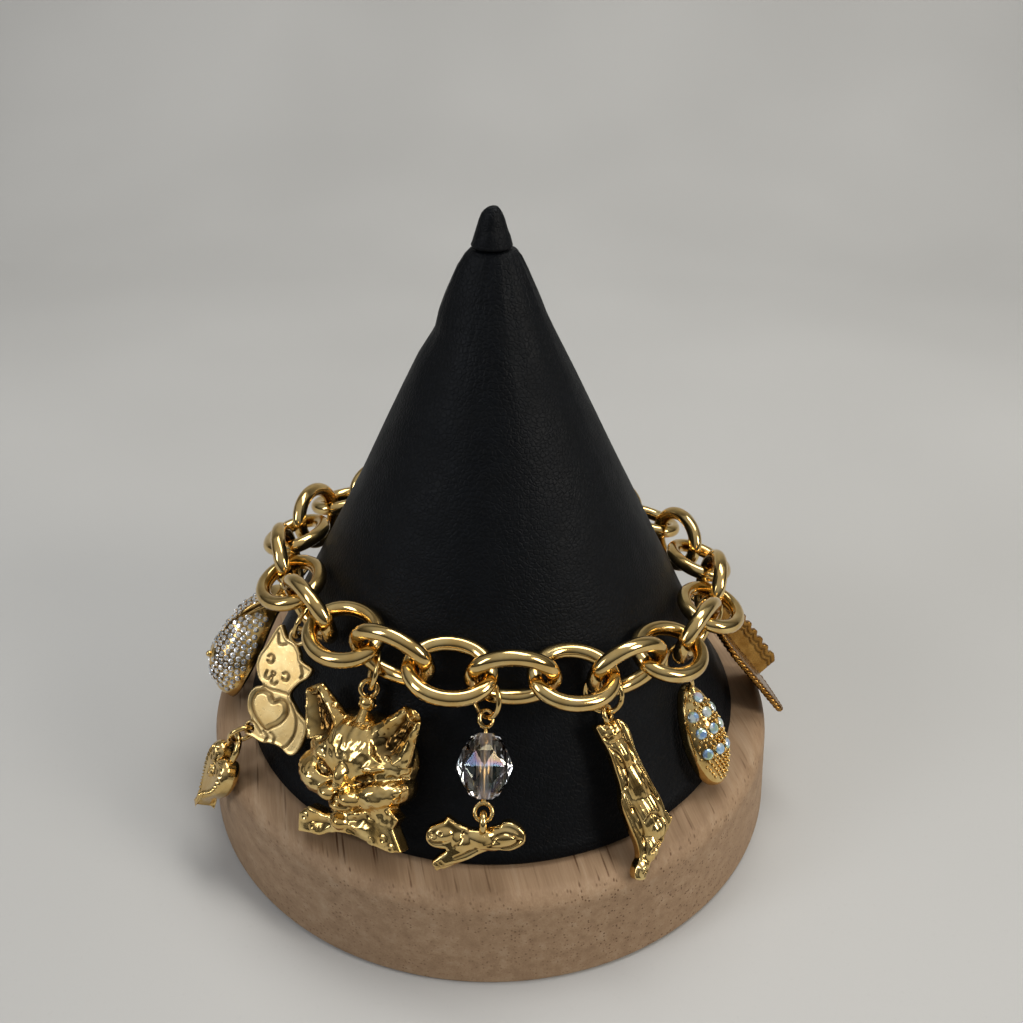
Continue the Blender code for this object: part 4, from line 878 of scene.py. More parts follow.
def cat_face(points, normals):
    """Combed fur, ear hollows, eyes, nose, mouth and the bow's folds."""
    x, _, z = points.T
    facing = np.clip(-normals[:, 1] * 1.6, 0, 1)
    in_head = z > BOW_Z + 1.6
    angle = np.arctan2(z - FUR_Z, x)
    radius = np.hypot(x, z - FUR_Z)
    combed = 0.8 * hills(angle * 6.5, radius * 0.55) + 0.5 * hills(x * 1.7, z * 1.3, 3.0)
    furry = np.clip((radius - 2.6) / 2.5, 0, 1) * in_head
    push = 0.20 * combed * furry * np.clip(facing + 0.25, 0, 1)
    # Painted shade in the low parts of the fur, and below in the ears, eyes, mouth, nose and bow.
    cavity_shade = np.clip(-combed * 0.8 - 0.15, 0, 0.6) * furry
    for side in (-1, 1):
        root = np.array([side * 0.29 * WIDE, CROWN - 0.24 * HIGH])
        point = np.array([side * 0.42 * WIDE, CROWN + 0.06 * HIGH])
        edge = point - root
        along = np.clip(((points[:, [0, 2]] - root) @ edge) / (edge @ edge), 0, 1)
        gap = np.linalg.norm(points[:, [0, 2]] - root - along[:, None] * edge, axis=1)
        wide = 2.25 - 1.25 * along
        well = np.clip(1.15 - (gap / wide) ** 2, 0, 1) * (gap < wide * 1.1) * facing
        push -= 1.35 * well
        cavity_shade += 0.9 * well
        edge = smooth_line([(side * a, b) for a, b in lid], 4)
        rim = nearness(points, edge, 0.20) * facing * in_head
        across = x - side * EYE_X
        middle = np.hypot(across / 1.15, (z - EYE_Z - side * across * 0.45) / 0.55)
        hollow = np.clip(1.3 - middle, 0, 1) * facing * in_head
        push -= 0.18 * rim + 0.28 * hollow
        cavity_shade += 0.8 * rim + hollow
    groove = nearness(points, mouth, 0.17) * facing
    bridge = nearness(points, bridge_line, 0.14) * facing
    nose = np.clip(1 - np.hypot(x / 0.85, (z - NOSE_Z) / 0.48) ** 2, 0, 1) * facing
    nostrils = sum(dimple(points, (a, NOSE_Z - 0.10), 0.025) for a in (-0.38, 0.38)) * facing
    push += 0.30 * nose - 0.26 * groove - 0.2 * bridge - 0.2 * nostrils
    cavity_shade += groove + bridge + nostrils
    on_bow = (z < BOW_Z + 2.2) * facing
    turn = np.arctan2(z - BOW_Z, np.abs(x) + 0.01)
    near_knot = np.clip(np.abs(x) - 1.0, 0, 1) * np.clip((5.5 - np.abs(x)) / 2.5, 0, 1)
    fold = np.cos(turn * 9 + 0.8 * hills(x, z)) * near_knot
    push += 0.20 * fold * on_bow
    cavity_shade += np.clip(-fold * 0.7, 0, 0.6) * on_bow
    for a, b in studs:
        gap = np.hypot(x - a, z - b)
        push += 0.12 * np.exp(-((gap - 0.42) / 0.13) ** 2) * on_bow
        cavity_shade += 0.5 * np.exp(-(gap / 0.2) ** 2) * on_bow
    return push, cavity_shade


head = reliefed(head, cat_face)
BALL_RADIUS, GRAINS, HEAD_SHIFT = 1.15, 14, -0.2
ball_at = Vector((0, 0, -LOOP_RADIUS - 0.77))
ball = moved(bead(BALL_RADIUS, 20), Matrix.Translation(ball_at))
grains = []
for k in range(GRAINS):
    a, b = 2.4 * k, math.acos(1 - 2 * (k + 0.5) / GRAINS)
    way = Vector((math.sin(b) * math.cos(a), math.sin(b) * math.sin(a), math.cos(b)))
    spot = ball_at + way * (BALL_RADIUS - 0.05)
    grains.append(moved(bead(0.22, 8), Matrix.Translation(spot)))
bm = bmesh.new()
add_bar(bm, (0, 0, -2.2), (HEAD_SHIFT, BACK - 0.35 * DEEP, CROWN - 0.16 * HIGH), 0.66, 0.95)
head.transform(Matrix.Translation((HEAD_SHIFT, 0, 0)))
charm = joined([head, ball, mesh_from(bm), hanging_loop()] + grains)
hang, azimuth = ring_hang("head_ring")
put("cat_head_charm", charm, hung(hang, azimuth, 0, 7), CAST_GOLD, "gold", "cat_head")
print("cat head:", len(charm.vertices), "points")

# %% [markdown]
# The sitting cat is a thin stamped plate. Its face, paws and tail are engraved lines, a heart
# stands up on its belly, and its edge is bright where the satin face has been turned over.

# %% Sitting cat
SIT_WIDE, SIT_HIGH, SIT_THICK = 10.8, 16.5, 0.9
PAW_X, PAW_Z, PAW_HOLE = -2.851, -14.504, 0.74
BELLY_X, BELLY_Z = -0.8, -11.3
# The cat's outline: x and z from the loop, as shares of the width and height.
outline = (
    (-0.290, 0.045), (-0.140, -0.040), (0.000, -0.058), (0.110, -0.115), (0.164, -0.174),
    (0.355, -0.208), (0.330, -0.290), (0.234, -0.360), (0.156, -0.476), (0.278, -0.553),
    (0.345, -0.589), (0.497, -0.639), (0.544, -0.724), (0.530, -0.840), (0.476, -0.927),
    (0.380, -0.955), (0.240, -0.925), (0.090, -0.929), (-0.042, -0.954), (-0.185, -0.945),
    (-0.296, -0.945), (-0.361, -0.897), (-0.347, -0.842), (-0.300, -0.800), (-0.385, -0.740),
    (-0.433, -0.630), (-0.380, -0.540), (-0.281, -0.494), (-0.369, -0.452), (-0.456, -0.356),
    (-0.455, -0.255), (-0.400, -0.164))
sit_outline = smooth_line([(x * SIT_WIDE, z * SIT_HIGH) for x, z in outline], 5, closed=True)
sit = melted(plate(sit_outline[:-1], SIT_THICK, 0.12), 0.11, 2)
# The heart on the belly and the engraved lines, as (x, z) in mm.
belly = [(-0.45, -13.82), (-2.3, -12.9), (-3.7, -11.3), (-3.6, -9.6), (-2.54, -8.75), (-1.3, -8.8),
         (-0.49, -9.55), (0.5, -9.0), (1.7, -9.3), (2.2, -10.6), (1.5, -12.2), (0.4, -13.2)]
belly_line = smooth_line(belly, 6, closed=True)
sit_lines = [
    [(-3.4, -4.1), (-3.0, -3.75), (-2.5, -4.0), (-2.45, -4.6), (-2.9, -4.9), (-3.3, -4.7)],
    [(-0.3, -5.55), (0.15, -5.3), (0.65, -5.6), (0.65, -6.15), (0.2, -6.4), (-0.2, -6.2)],
    [(-2.9, -6.1), (-2.95, -6.9), (-2.4, -7.1), (-1.95, -6.6), (-1.75, -7.3), (-1.2, -7.5),
     (-0.85, -7.0)],
    [(-2.0, -5.9), (-1.6, -6.0), (-1.85, -6.4), (-2.05, -6.0)],
    [(-3.35, -8.0), (-1.9, -8.35), (-0.2, -8.1), (1.5, -7.95)],
    [(-2.9, -0.6), (-2.3, -1.9), (-1.3, -1.6)], [(2.0, -3.6), (2.6, -4.6), (2.5, -5.2)],
    [(2.3, -9.0), (3.7, -10.6), (4.2, -12.6), (3.7, -14.4), (3.0, -15.2)],
    [(-3.3, -13.4), (-2.2, -13.7), (-0.9, -14.5)], [(-2.6, -14.0), (-2.4, -14.6)],
    [(-0.6, -14.1), (0.2, -14.6), (0.1, -15.3)], [(0.5, -13.9), (1.3, -14.3), (1.4, -15.1)]]


def sitting_relief(points, normals):
    """Engraved lines, the raised heart and the turned edge of the stamped plate."""
    facing = np.clip(-normals[:, 1], 0, 1)
    push, cavity_shade = engraved(points, sit_lines, 0.13, 0.13, 0.85)
    x, z = points[:, 0] - BELLY_X, points[:, 2] - BELLY_Z
    rim_x, rim_z = belly_line[:-1, 0] - BELLY_X, belly_line[:-1, 1] - BELLY_Z
    rim_angle = np.arctan2(rim_z, rim_x)
    order = np.argsort(rim_angle)
    reach = np.interp(np.arctan2(z, x), rim_angle[order], np.hypot(rim_z, rim_x)[order],
                      period=2 * np.pi)
    inside = np.hypot(z, x) < reach
    gap = line_distance(points, belly_line)
    groove = np.exp(-(gap / 0.14) ** 2)
    edge = line_distance(points, sit_outline)
    push += 0.34 * np.clip(gap / 0.55, 0, 1) * inside - 0.12 * groove
    push += 0.07 * np.exp(-((edge - 0.22) / 0.16) ** 2)
    # Painted shade in the engraved lines and the groove round the heart.
    cavity_shade += 0.9 * groove
    return push * facing, cavity_shade * facing


sit = reliefed(sit, sitting_relief)
bm = bmesh.new()
add_bar(bm, (PAW_X, -2, PAW_Z), (PAW_X, 2, PAW_Z), PAW_HOLE, PAW_HOLE)
sit = cut(sit, mesh_from(bm))
charm = joined([sit, hanging_loop(30)])
hang, azimuth = ring_hang("sitting_cat_ring")
sit_frame = hung(hang, azimuth, 30, 12, 10)
put("sitting_cat_plate", charm, sit_frame, SATIN_GOLD, "satin_gold", "sitting_cat")
print("sitting cat:", len(charm.vertices), "points")

# %% [markdown]
# The heart padlock hangs from the sitting cat's paw. A twisted cord runs round its right edge,
# a round boss with a keyhole stands in its middle, and a small scroll curls on each shoulder.

# %% Heart padlock
LOCK_HIGH, LOCK_WIDE, LOCK_THICK, SHACKLE = 10.2, 8.4, 2.8, 0.9
LOCK_AROUND, LOCK_YAW, LOCK_LEAN = 4.0, -14.0, 29.0


def heart(wide, high):
    """A heart outline of 72 points with its tip down."""
    t = 2 * np.pi * np.arange(72) / 72
    z = (13 * np.cos(t) - 5 * np.cos(2 * t) - 2 * np.cos(3 * t) - np.cos(4 * t)) / 17
    return np.stack([np.sin(t) ** 3 * wide / 2, (z + 0.12) * high / 1.72], 1)


lock_middle = -LOCK_HIGH * 0.76
lock_outline = heart(LOCK_WIDE, LOCK_HIGH) + [0, lock_middle]
bm = bmesh.new()
bm.from_mesh(plate(lock_outline, LOCK_THICK, LOCK_THICK * 0.30))
boss_at = lock_middle + LOCK_HIGH * 0.12
add_bar(bm, (0, LOCK_THICK * 0.3, boss_at), (0, -LOCK_THICK * 0.62, boss_at), LOCK_WIDE * 0.13,
        LOCK_WIDE * 0.10)
lock = melted(mesh_from(bm), 0.10, 4)
cord_line = closed_up(heart(LOCK_WIDE * 0.80, LOCK_HIGH * 0.80) + [0, lock_middle])
key_line = [(0, boss_at + 0.25), (0, boss_at - 0.35)]
scroll = [(0.25 * k * math.cos(0.9 * k), 0.25 * k * math.sin(0.9 * k)) for k in range(1, 8)]


def lock_relief(points, normals):
    """The twisted edge, the scrolls and the keyhole."""
    x, _, z = points.T
    facing = np.clip(-normals[:, 1] * 1.5, 0, 1)
    gap = line_distance(points, cord_line)
    turn = np.arctan2(z - lock_middle, x)
    twist = np.cos(turn * 34 + gap * 5)
    cord = np.exp(-(gap / 0.42) ** 2) * facing
    push = (0.12 + 0.13 * twist) * cord
    # Painted shade in the cord's twists, beside the scrolls and in the keyhole.
    cavity_shade = np.clip(-twist, 0, 1) * cord * 0.8
    for side in (-1, 1):
        curl = [(side * (1.75 - a * 0.55), lock_middle + 2.6 + b * 0.55) for a, b in scroll]
        gap = line_distance(points, smooth_line(curl, 4))
        push += 0.15 * np.exp(-(gap / 0.17) ** 2) * facing
        cavity_shade += 0.3 * np.exp(-((gap - 0.3) / 0.12) ** 2) * facing
    key = nearness(points, key_line, 0.17) * facing
    push -= 0.3 * key
    cavity_shade += key
    return push, cavity_shade


lock = reliefed(lock, lock_relief)
half = LOCK_WIDE * 0.22
arch = [(-half, 0, -LOCK_HIGH * 0.42), (-half, 0, -LOCK_HIGH * 0.3)]
for step in range(19):
    turn = math.pi * (1 - step / 18)
    arch.append((half * math.cos(turn), 0, half * (math.sin(turn) - 1)))
arch += [(half, 0, -LOCK_HIGH * 0.3), (half, 0, -LOCK_HIGH * 0.42)]
charm = joined([lock, tube(arch, SHACKLE / 2, 14, closed=False)])
hole_at = sit_frame @ Vector((PAW_X * MM, 0, PAW_Z * MM))
azimuth = math.atan2(hole_at.x, -hole_at.y) + math.radians(LOCK_AROUND)
centre = Vector(node_points("padlock_ring").mean(0))
reach = (centre - hole_at).normalized()
hang = centre + reach * (PADLOCK_RING_RADIUS - RING_WIRE / 2 - SHACKLE / 2 - RING_PLAY) * MM
turn = Matrix.Rotation(math.radians(LOCK_YAW), 3, "Z")
radial = turn @ Vector((math.sin(azimuth), -math.cos(azimuth), 0))
right = turn @ Vector((math.cos(azimuth), math.sin(azimuth), 0))
lean = math.radians(LOCK_LEAN)
lock_frame = axes_matrix(hang, right, Vector((0, 0, 1)) * math.cos(lean) - radial * math.sin(lean))
put("heart_padlock_charm", charm, lock_frame, CAST_GOLD, "gold", "heart_padlock")
print("padlock:", len(charm.vertices), "points")

# %% [markdown]
# The crystal drop: a bead cut in eight columns of slanted facets, drilled through, on a pin
# whose wire is curled into an eye at each end.

# %% Crystal drop
BEAD_WIDE, BEAD_HIGH, PIN_WIRE, GAP = 7.0, 8.0, 0.6, 0.2
EYE_RADIUS = LOOP_RADIUS - PIN_WIRE * 0.05
bead_top = -LOOP_RADIUS - PIN_WIRE / 2 - GAP
BORE_RADIUS = 0.6
sides = 8


def corners(height, radius, shift):
    """The corners of the bead at a share of its height, turned by a share of one side."""
    a = 2 * np.pi * (np.arange(sides) + shift) / sides
    z = bead_top - GAP - BEAD_HIGH * (1 - height)
    return np.stack([radius * np.cos(a), radius * np.sin(a), 0 * a + z], 1)


# Columns: height and radius as shares, and the turn.
rows = [corners(height, radius * BEAD_WIDE, shift) for height, radius, shift in (
    (1.0, 0.155, 0), (0.95, 0.255, 0), (0.74, 0.435, 0.5), (0.5, 0.505, 0), (0.26, 0.435, 0.5),
    (0.05, 0.255, 0), (0.0, 0.155, 0))]
rows += [corners(0.0, BORE_RADIUS, 0), corners(1.0, BORE_RADIUS, 0)]
points = np.concatenate(rows)
faces = []
for i in range(len(rows)):
    j = (i + 1) % len(rows)
    for k in range(sides):
        m = (k + 1) % sides
        a, b, c, d = i * sides + k, i * sides + m, j * sides + m, j * sides + k
        if i in (1, 3):
            faces += [(a, b, d), (b, c, d)]
        elif i in (2, 4):
            faces += [(a, b, c), (a, c, d)]
        else:
            faces.append((a, b, c, d))
crystal = mesh_of(points, faces, smooth=False)
hang, azimuth = ring_hang("crystal_ring")
drop_frame = hung(hang, azimuth, 0, 0, 17)
put("cut_crystal", crystal, drop_frame, CRYSTAL, "crystal", "crystal_bead")

bottom = bead_top - BEAD_HIGH - 2 * GAP
lower = bottom - PIN_WIRE / 2 - EYE_RADIUS


def wire_eye(z, turn):
    """An eye of pin wire, its end tucked beside the shank."""
    turns = np.linspace(0, 2 * np.pi, 44, endpoint=False)
    path = np.stack([EYE_RADIUS * np.cos(turns), 0 * turns, z + EYE_RADIUS * np.sin(turns)], 1)
    return moved(tube(path, PIN_WIRE / 2, 14), turn_by(turn, "Z"))


shank = [(0, 0, z) for z in np.linspace(-EYE_RADIUS + 0.1, lower + EYE_RADIUS - 0.1, 12)]
pin = joined([tube(shank, PIN_WIRE / 2, 14, closed=False), wire_eye(0, 90 - RING_TURN),
              wire_eye(lower, 0)])
put("curled_pin", pin, drop_frame, GOLD, "gold", "eye_pin")
print("crystal facets:", len(crystal.polygons))

# %% [markdown]
# Below the crystal a small cat crouches to pounce: smooth and highly polished, with cut lines
# for its haunch, paws and tail.

# %% Crouching cat
LONG, THICK = 12.8, 3.0


def cat_mass(outline, lumps, long, thick, slab_share, edge, middle=0.0):
    """A cat's outline as a slab with rounded forms over it, in shares of its length."""
    bm = bmesh.new()
    line = smooth_line([(x * long, z * long) for x, z in outline], 3, closed=True)
    slab = plate(line[:-1], thick * slab_share, edge)
    slab.transform(Matrix.Translation((0, middle, 0)))
    bm.from_mesh(slab)
    for x, z, rx, ry, rz, turn in lumps:
        add_lump(bm, (x * long, middle, z * long), (rx * long, ry * thick, rz * long), turn)
    return bm


# The cat's outline: x and z from the loop.
outline = (
    (-0.148, -0.047), (-0.102, -0.066), (0.105, -0.066), (0.148, -0.035), (0.188, 0.008),
    (0.277, 0.020), (0.385, -0.052), (0.416, -0.120), (0.389, -0.200), (0.264, -0.263),
    (0.119, -0.256), (0.052, -0.268), (-0.045, -0.310), (-0.141, -0.362), (-0.314, -0.416),
    (-0.449, -0.449), (-0.489, -0.401), (-0.432, -0.340), (-0.346, -0.268), (-0.443, -0.251),
    (-0.512, -0.222), (-0.552, -0.154), (-0.515, -0.054), (-0.380, 0.009), (-0.342, 0.059),
    (-0.273, 0.012), (-0.225, -0.017))
# Columns: x and z from the loop, radii in x, depth and z, and the turn about Y. The depth is a
# share of the thickness.
lumps = ((0.20, -0.130, 0.20, 0.50, 0.120, -4), (0.00, -0.170, 0.22, 0.46, 0.095, 16),
         (-0.37, -0.115, 0.125, 0.46, 0.095, -10), (-0.47, -0.150, 0.070, 0.40, 0.058, 0),
         (-0.20, -0.180, 0.15, 0.45, 0.110, 30), (0.10, -0.185, 0.26, 0.49, 0.075, -8))
bm = cat_mass(outline, lumps, LONG, THICK, 0.6, 0.4)
for shift in (0.0, 0.07):
    add_bar(bm, ((-0.16 + shift) * LONG, 0, -0.29 * LONG),
            ((-0.46 + shift) * LONG, 0, (-0.47 + shift * 0.3) * LONG),
            0.055 * LONG, 0.034 * LONG, 0.8)
cat = melted(mesh_from(bm), 0.10, 5)
# Cut lines, as (x, z) in mm.
cat_lines = [
    [(1.0, -2.7), (1.5, -1.5), (2.7, -0.9), (3.9, -1.3), (4.4, -2.1)],
    [(4.7, -1.9), (3.3, -2.8), (1.8, -2.9), (0.6, -2.7)],
    [(-2.4, -0.9), (-2.7, -2.1), (-3.5, -2.9)], [(-3.4, -4.3), (-2.0, -3.7), (-0.8, -3.1)],
    [(-6.5, -2.1), (-5.9, -2.5), (-5.1, -2.5)], [(-5.7, -5.1), (-5.3, -5.5)],
    [(-5.2, -4.9), (-4.8, -5.3)]]


def crouching_lines(points, normals):
    """Cut lines, eyes and a few soft ripples from polishing."""
    facing = np.clip(np.abs(normals[:, 1]) * 1.6, 0, 1)
    push, cavity_shade = engraved(points, cat_lines, 0.16, 0.15, 0.8)
    eyes = dimple(points, (-5.2, -1.2), 0.04) + dimple(points, (-6.5, -1.4), 0.04)
    ripples = 0.03 * hills(points[:, 0] * 0.9, points[:, 2] * 0.9)
    # Painted shade in the cut lines and the eyes.
    return (push - 0.16 * eyes) * facing + ripples, (cavity_shade + eyes) * facing


cat = reliefed(cat, crouching_lines)
loop_wire = LOOP_WIRE * 1.3
loop = moved(oval(LOOP_RADIUS, LOOP_RADIUS, loop_wire, 40, 14), turn_by(90, "Z"))
eye_floor = drop_frame @ Vector((0, 0, (lower - EYE_RADIUS + PIN_WIRE / 2 + RING_PLAY) * MM))
cat_hang = eye_floor - cone_axes(azimuth)[2] * (LOOP_RADIUS - loop_wire / 2) * MM
charm = joined([cat, loop])
put("crouching_cat_charm", charm, hung(cat_hang, azimuth), GOLD, "gold", "crouching_cat")
print("crouching cat:", len(cat.vertices), "points")

# %% [markdown]
# The standing cat reaches upwards. Its coat is engraved with long strokes that follow the
# body; a curved line marks its haunch.

# %% Standing cat
LONG, THICK, MIDDLE = 20.5, 3.4, 0.3
# The outline and the lumps have the same columns as those of the crouching cat.
outline = (
    (-0.108, -0.050), (-0.094, -0.129), (-0.065, -0.230), (-0.057, -0.350), (-0.053, -0.481),
    (-0.078, -0.575), (-0.064, -0.712), (-0.044, -0.843), (-0.055, -0.924), (-0.100, -0.971),
    (-0.118, -1.035), (-0.058, -1.058), (-0.008, -1.005), (0.045, -0.949), (0.120, -0.906),
    (0.169, -0.852), (0.234, -0.796), (0.255, -0.758), (0.219, -0.744), (0.212, -0.642),
    (0.173, -0.496), (0.145, -0.387), (0.121, -0.267), (0.118, -0.180), (0.102, -0.100),
    (0.060, -0.050), (0.000, -0.055), (-0.060, -0.050))
lumps = ((-0.010, -0.120, 0.080, 0.46, 0.076, 20), (0.022, -0.270, 0.070, 0.44, 0.150, -8),
         (0.060, -0.480, 0.095, 0.46, 0.200, -10), (0.080, -0.690, 0.120, 0.50, 0.190, -8),
         (0.040, -0.880, 0.070, 0.42, 0.110, 14), (-0.055, -0.990, 0.045, 0.40, 0.060, 25),
         (0.120, -0.780, 0.085, 0.54, 0.095, 0), (-0.052, -1.010, 0.040, 0.44, 0.030, 10))
cat = melted(mesh_from(cat_mass(outline, lumps, LONG, THICK, 0.5, 0.3, MIDDLE)), 0.11, 4)
cat_lines = [
    [(-1.2, -4.1), (-0.3, -5.6), (0.1, -7.6), (-0.4, -9.6)],
    [(1.6, -4.4), (1.5, -7.0), (2.4, -9.6), (3.5, -12.5)],
    [(0.6, -14.6), (1.7, -13.9), (3.0, -14.6), (3.4, -16.2), (2.4, -17.8), (0.6, -18.7)],
    [(-0.3, -12.4), (0.1, -14.6), (0.2, -16.6), (-0.3, -18.6)],
    [(-1.6, -2.7), (-1.2, -3.1), (-0.7, -2.9)], [(-1.3, -20.6), (-1.1, -21.2)],
    [(-0.8, -20.5), (-0.6, -21.1)]]


def standing_coat(points, normals):
    """Long engraved strokes down the body and cut lines round the limbs."""
    facing = np.clip(np.abs(normals[:, 1]) * 1.5, 0, 1)
    z = points[:, 2]
    across = points[:, 0] + 0.18 * z
    strokes = hills(across * 1.9, z * 0.16) + 0.4 * hills(across * 4.5, z * 0.30, 5.0)
    push, cavity_shade = engraved(points, cat_lines, 0.16, 0.20, 0.9)
    eyes = dimple(points, (-1.35, -2.2), 0.03) + dimple(points, (-0.15, -2.3), 0.03)
    push += 0.13 * strokes - 0.15 * eyes
    # Painted shade in the low parts of the strokes, the cut lines and the eyes.
    cavity_shade += np.clip(-strokes - 0.15, 0, 0.6) + eyes
    return push * facing, cavity_shade * facing


cat = reliefed(cat, standing_coat)
hang, azimuth = ring_hang("standing_cat_ring")
charm = joined([cat, hanging_loop()])
put("standing_cat_charm", charm, hung(hang, azimuth, 0, 0, 8), CAST_GOLD, "gold", "standing_cat")
print("standing cat:", len(cat.vertices), "points")

# %% [markdown]
# The stone egg is a domed shell with a smooth rim. Ten coated stones sit in it. Little beads of
# gold stand round each of them to hold it, and smaller ones cover the ground between.

# %% Stone egg
EGG_WIDE, EGG_HIGH, EGG_DEEP, STONE = 7.0, 15.0, 3.3, 1.6
EGG_BACK = 1.8
GROUND_ROW, GROUND_STEP = 0.62, 0.70
egg_middle = -LOOP_RADIUS - EGG_HIGH / 2 + 0.2
turns = np.linspace(0, 2 * np.pi, 96, endpoint=False)
egg_outline = np.stack([EGG_WIDE / 2 * (1 - 0.14 * np.sin(turns)) * np.cos(turns),
                        egg_middle + EGG_HIGH / 2 * np.sin(turns)], 1)
shell = domed(egg_outline, np.array([0.0, egg_middle]), EGG_DEEP, 1.0)
tree = surface_of(shell)
stones, grains, spots = [], [], []
# Columns: height of a row as a share of half the egg, and its number of stones.
for share, count in ((0.73, 1), (0.44, 3), (0.12, 3), (-0.28, 3)):
    for k in range(count):
        spots.append(((k - (count - 1) / 2) * STONE * 1.22, egg_middle + share * EGG_HIGH / 2))
for x, z in spots:
    spot, normal = front_of(tree, x, z)
    stones.append(moved(brilliant(STONE, 12), stand_on(spot, normal, -0.02)))
    for k in range(6):
        a = math.pi / 3 * k + 0.5
        beside = front_of(tree, x + STONE * 0.60 * math.cos(a), z + STONE * 0.60 * math.sin(a))
        if beside and beside[1].y < -0.25:
            grains.append(moved(bead(0.21, 8), stand_on(*beside, -0.12)))
for row, z in enumerate(np.arange(egg_middle - 6.4, egg_middle + 6.4, GROUND_ROW)):
    for x in np.arange(-3.0, 3.1, GROUND_STEP) + (GROUND_STEP / 2 if row % 2 else 0.0):
        beside = front_of(tree, x, z)
        edge = line_distance(np.array([[x, 0, z]]), egg_outline)[0]
        clear = min(math.hypot(x - a, z - b) for a, b in spots)
        if beside and beside[1].y < -0.3 and edge > 0.8 and clear > STONE * 0.62:
            grains.append(moved(bead(0.24, 8), stand_on(*beside, -0.04)))


def egg_setting(points, normals):
    """A raised smooth rim, and the bright-cut ground between the stones."""
    edge = line_distance(points, closed_up(egg_outline))
    facing = np.clip(-normals[:, 1] * 3, 0, 1)
    pitted = hills(points[:, 0] * 2.4, points[:, 2] * 2.4)
    ground = np.clip((edge - 1.0) / 0.2, 0, 1) * facing
    rim = np.clip(1 - (edge - 0.45) ** 2 / 0.2, 0, 1) * facing
    push = 0.10 * rim - 0.10 * ground + 0.06 * pitted * ground
    # Painted shade on the ground between the stones, darker in its pits.
    cavity_shade = (0.05 + 0.5 * np.clip(-pitted, 0, 1)) * ground
    return push, cavity_shade


shell = reliefed(shell, egg_setting)
bm = bmesh.new()
add_bar(bm, (0, -1.5, -LOOP_RADIUS - 0.1), (0, -1.1, -LOOP_RADIUS - 2.2), 0.5, 0.9)
neck_bar = mesh_from(bm)
back = Matrix.Translation((0, EGG_BACK, 0))
gold_part = joined([moved(shell, back), moved(neck_bar, back), hanging_loop(-14)]
                   + [moved(g, back) for g in grains])
hang, azimuth = ring_hang("egg_ring")
egg_frame = hung(hang, azimuth, -14, -10, 9)
put("egg_setting", gold_part, egg_frame, CAST_GOLD, "gold", "stone_egg")
put("egg_stones", moved(joined(stones), back), egg_frame, BLUE_STONE, "crystal")
print("egg stones:", len(stones), "beads:", len(grains))

# %% [markdown]
# The fish is a deep domed shell, closely set with rows of small clear stones up to a smooth
# rim. Its head has a bare gold cheek with a bead for an eye. Its open back holds painted shade.

# %% Fish
FISH_LONG, FISH_WIDE, FISH_DEEP, FISH_BACK = 19.3, 10.0, 6.2, 1.0
FISH_STONE, STONE_STEP, STONE_ROW, BARE_RIM = 0.90, 0.99, 0.93, 0.45
# Columns: half the width and the way down, as shares.
half_fish = ((0.30, 0.0), (0.42, 0.05), (0.28, 0.16), (0.42, 0.29), (0.76, 0.45), (1.00, 0.66),
             (0.95, 0.84), (0.66, 0.96), (0.30, 1.00))
right_edge = [(x * FISH_WIDE / 2, -z * FISH_LONG) for x, z in half_fish]
fish_points = right_edge + [(0.0, -0.92 * FISH_LONG)] + [(-x, z) for x, z in reversed(right_edge)]
fish_outline = smooth_line([(x, z - LOOP_RADIUS) for x, z in fish_points], 6, closed=True)
fish_middle = np.array([0.0, -LOOP_RADIUS - 0.66 * FISH_LONG])
shell = domed(fish_outline[:-1], fish_middle, FISH_DEEP, 0.8, 26)
tree = surface_of(shell)
stones, grains = [], []
CHEEK_X, CHEEK_Z, CHEEK_WIDE, CHEEK_HIGH = 0.6, -15.6, 1.5, 1.9
rows_of_stones = 0
for row, z in enumerate(np.arange(-3.4, -19.2, -STONE_ROW)):
    trace = []
    for x in np.arange(-5.2, 5.2, 0.04):
        found = front_of(tree, x, z)
        if found and found[1].y < -0.10:
            trace.append(found)
    if len(trace) < 12:
        continue
    rows_of_stones += 1
    steps = [0.0]
    for first, second in zip(trace, trace[1:]):
        steps.append(steps[-1] + (second[0] - first[0]).length)
    room = steps[-1] - 1.1
    count = max(1, int(room / STONE_STEP) + 1)
    shift = 0.5 * (steps[-1] - (count - 1) * STONE_STEP) + (0.22 if row % 2 else -0.22)
    for k in range(count):
        at = shift + k * STONE_STEP
        if at < BARE_RIM or at > steps[-1] - BARE_RIM:
            continue
        spot, normal = trace[int(np.searchsorted(steps, at))]
        if math.hypot((spot.x - CHEEK_X) / CHEEK_WIDE, (spot.z - CHEEK_Z) / CHEEK_HIGH) < 1:
            continue
        stones.append(moved(brilliant(FISH_STONE, 8), stand_on(spot, normal, -0.03)))
        grains.append(moved(bead(0.13, 6), stand_on(spot + Vector((0.46, 0, 0.30)), normal, -0.05)))


def fish_ground(points, normals):
    """The smooth rim, the cheek's edge, and painted shade between the stones and inside the back.
    """
    facing = np.clip(-normals[:, 1] * 3, 0, 1)
    edge = line_distance(points, fish_outline)
    reach = np.hypot((points[:, 0] - CHEEK_X) / CHEEK_WIDE, (points[:, 2] - CHEEK_Z) / CHEEK_HIGH)
    bare = np.clip((1.05 - reach) / 0.1, 0, 1)
    rim = np.clip(1 - (edge - 0.4) ** 2 / 0.16, 0, 1) * facing
    push = 0.08 * rim - 0.05 * facing + 0.12 * bare * facing
    push -= 0.10 * np.exp(-((reach - 0.75) / 0.08) ** 2) * facing
    # Painted shade on the ground between the stones.
    cavity_shade = 0.5 * facing * (1 - bare) * np.clip((edge - 0.7) / 0.3, 0, 1)
    # Painted shade inside the open back.
    cavity_shade += 0.75 * (normals[:, 1] > 0.2)
    return push, cavity_shade


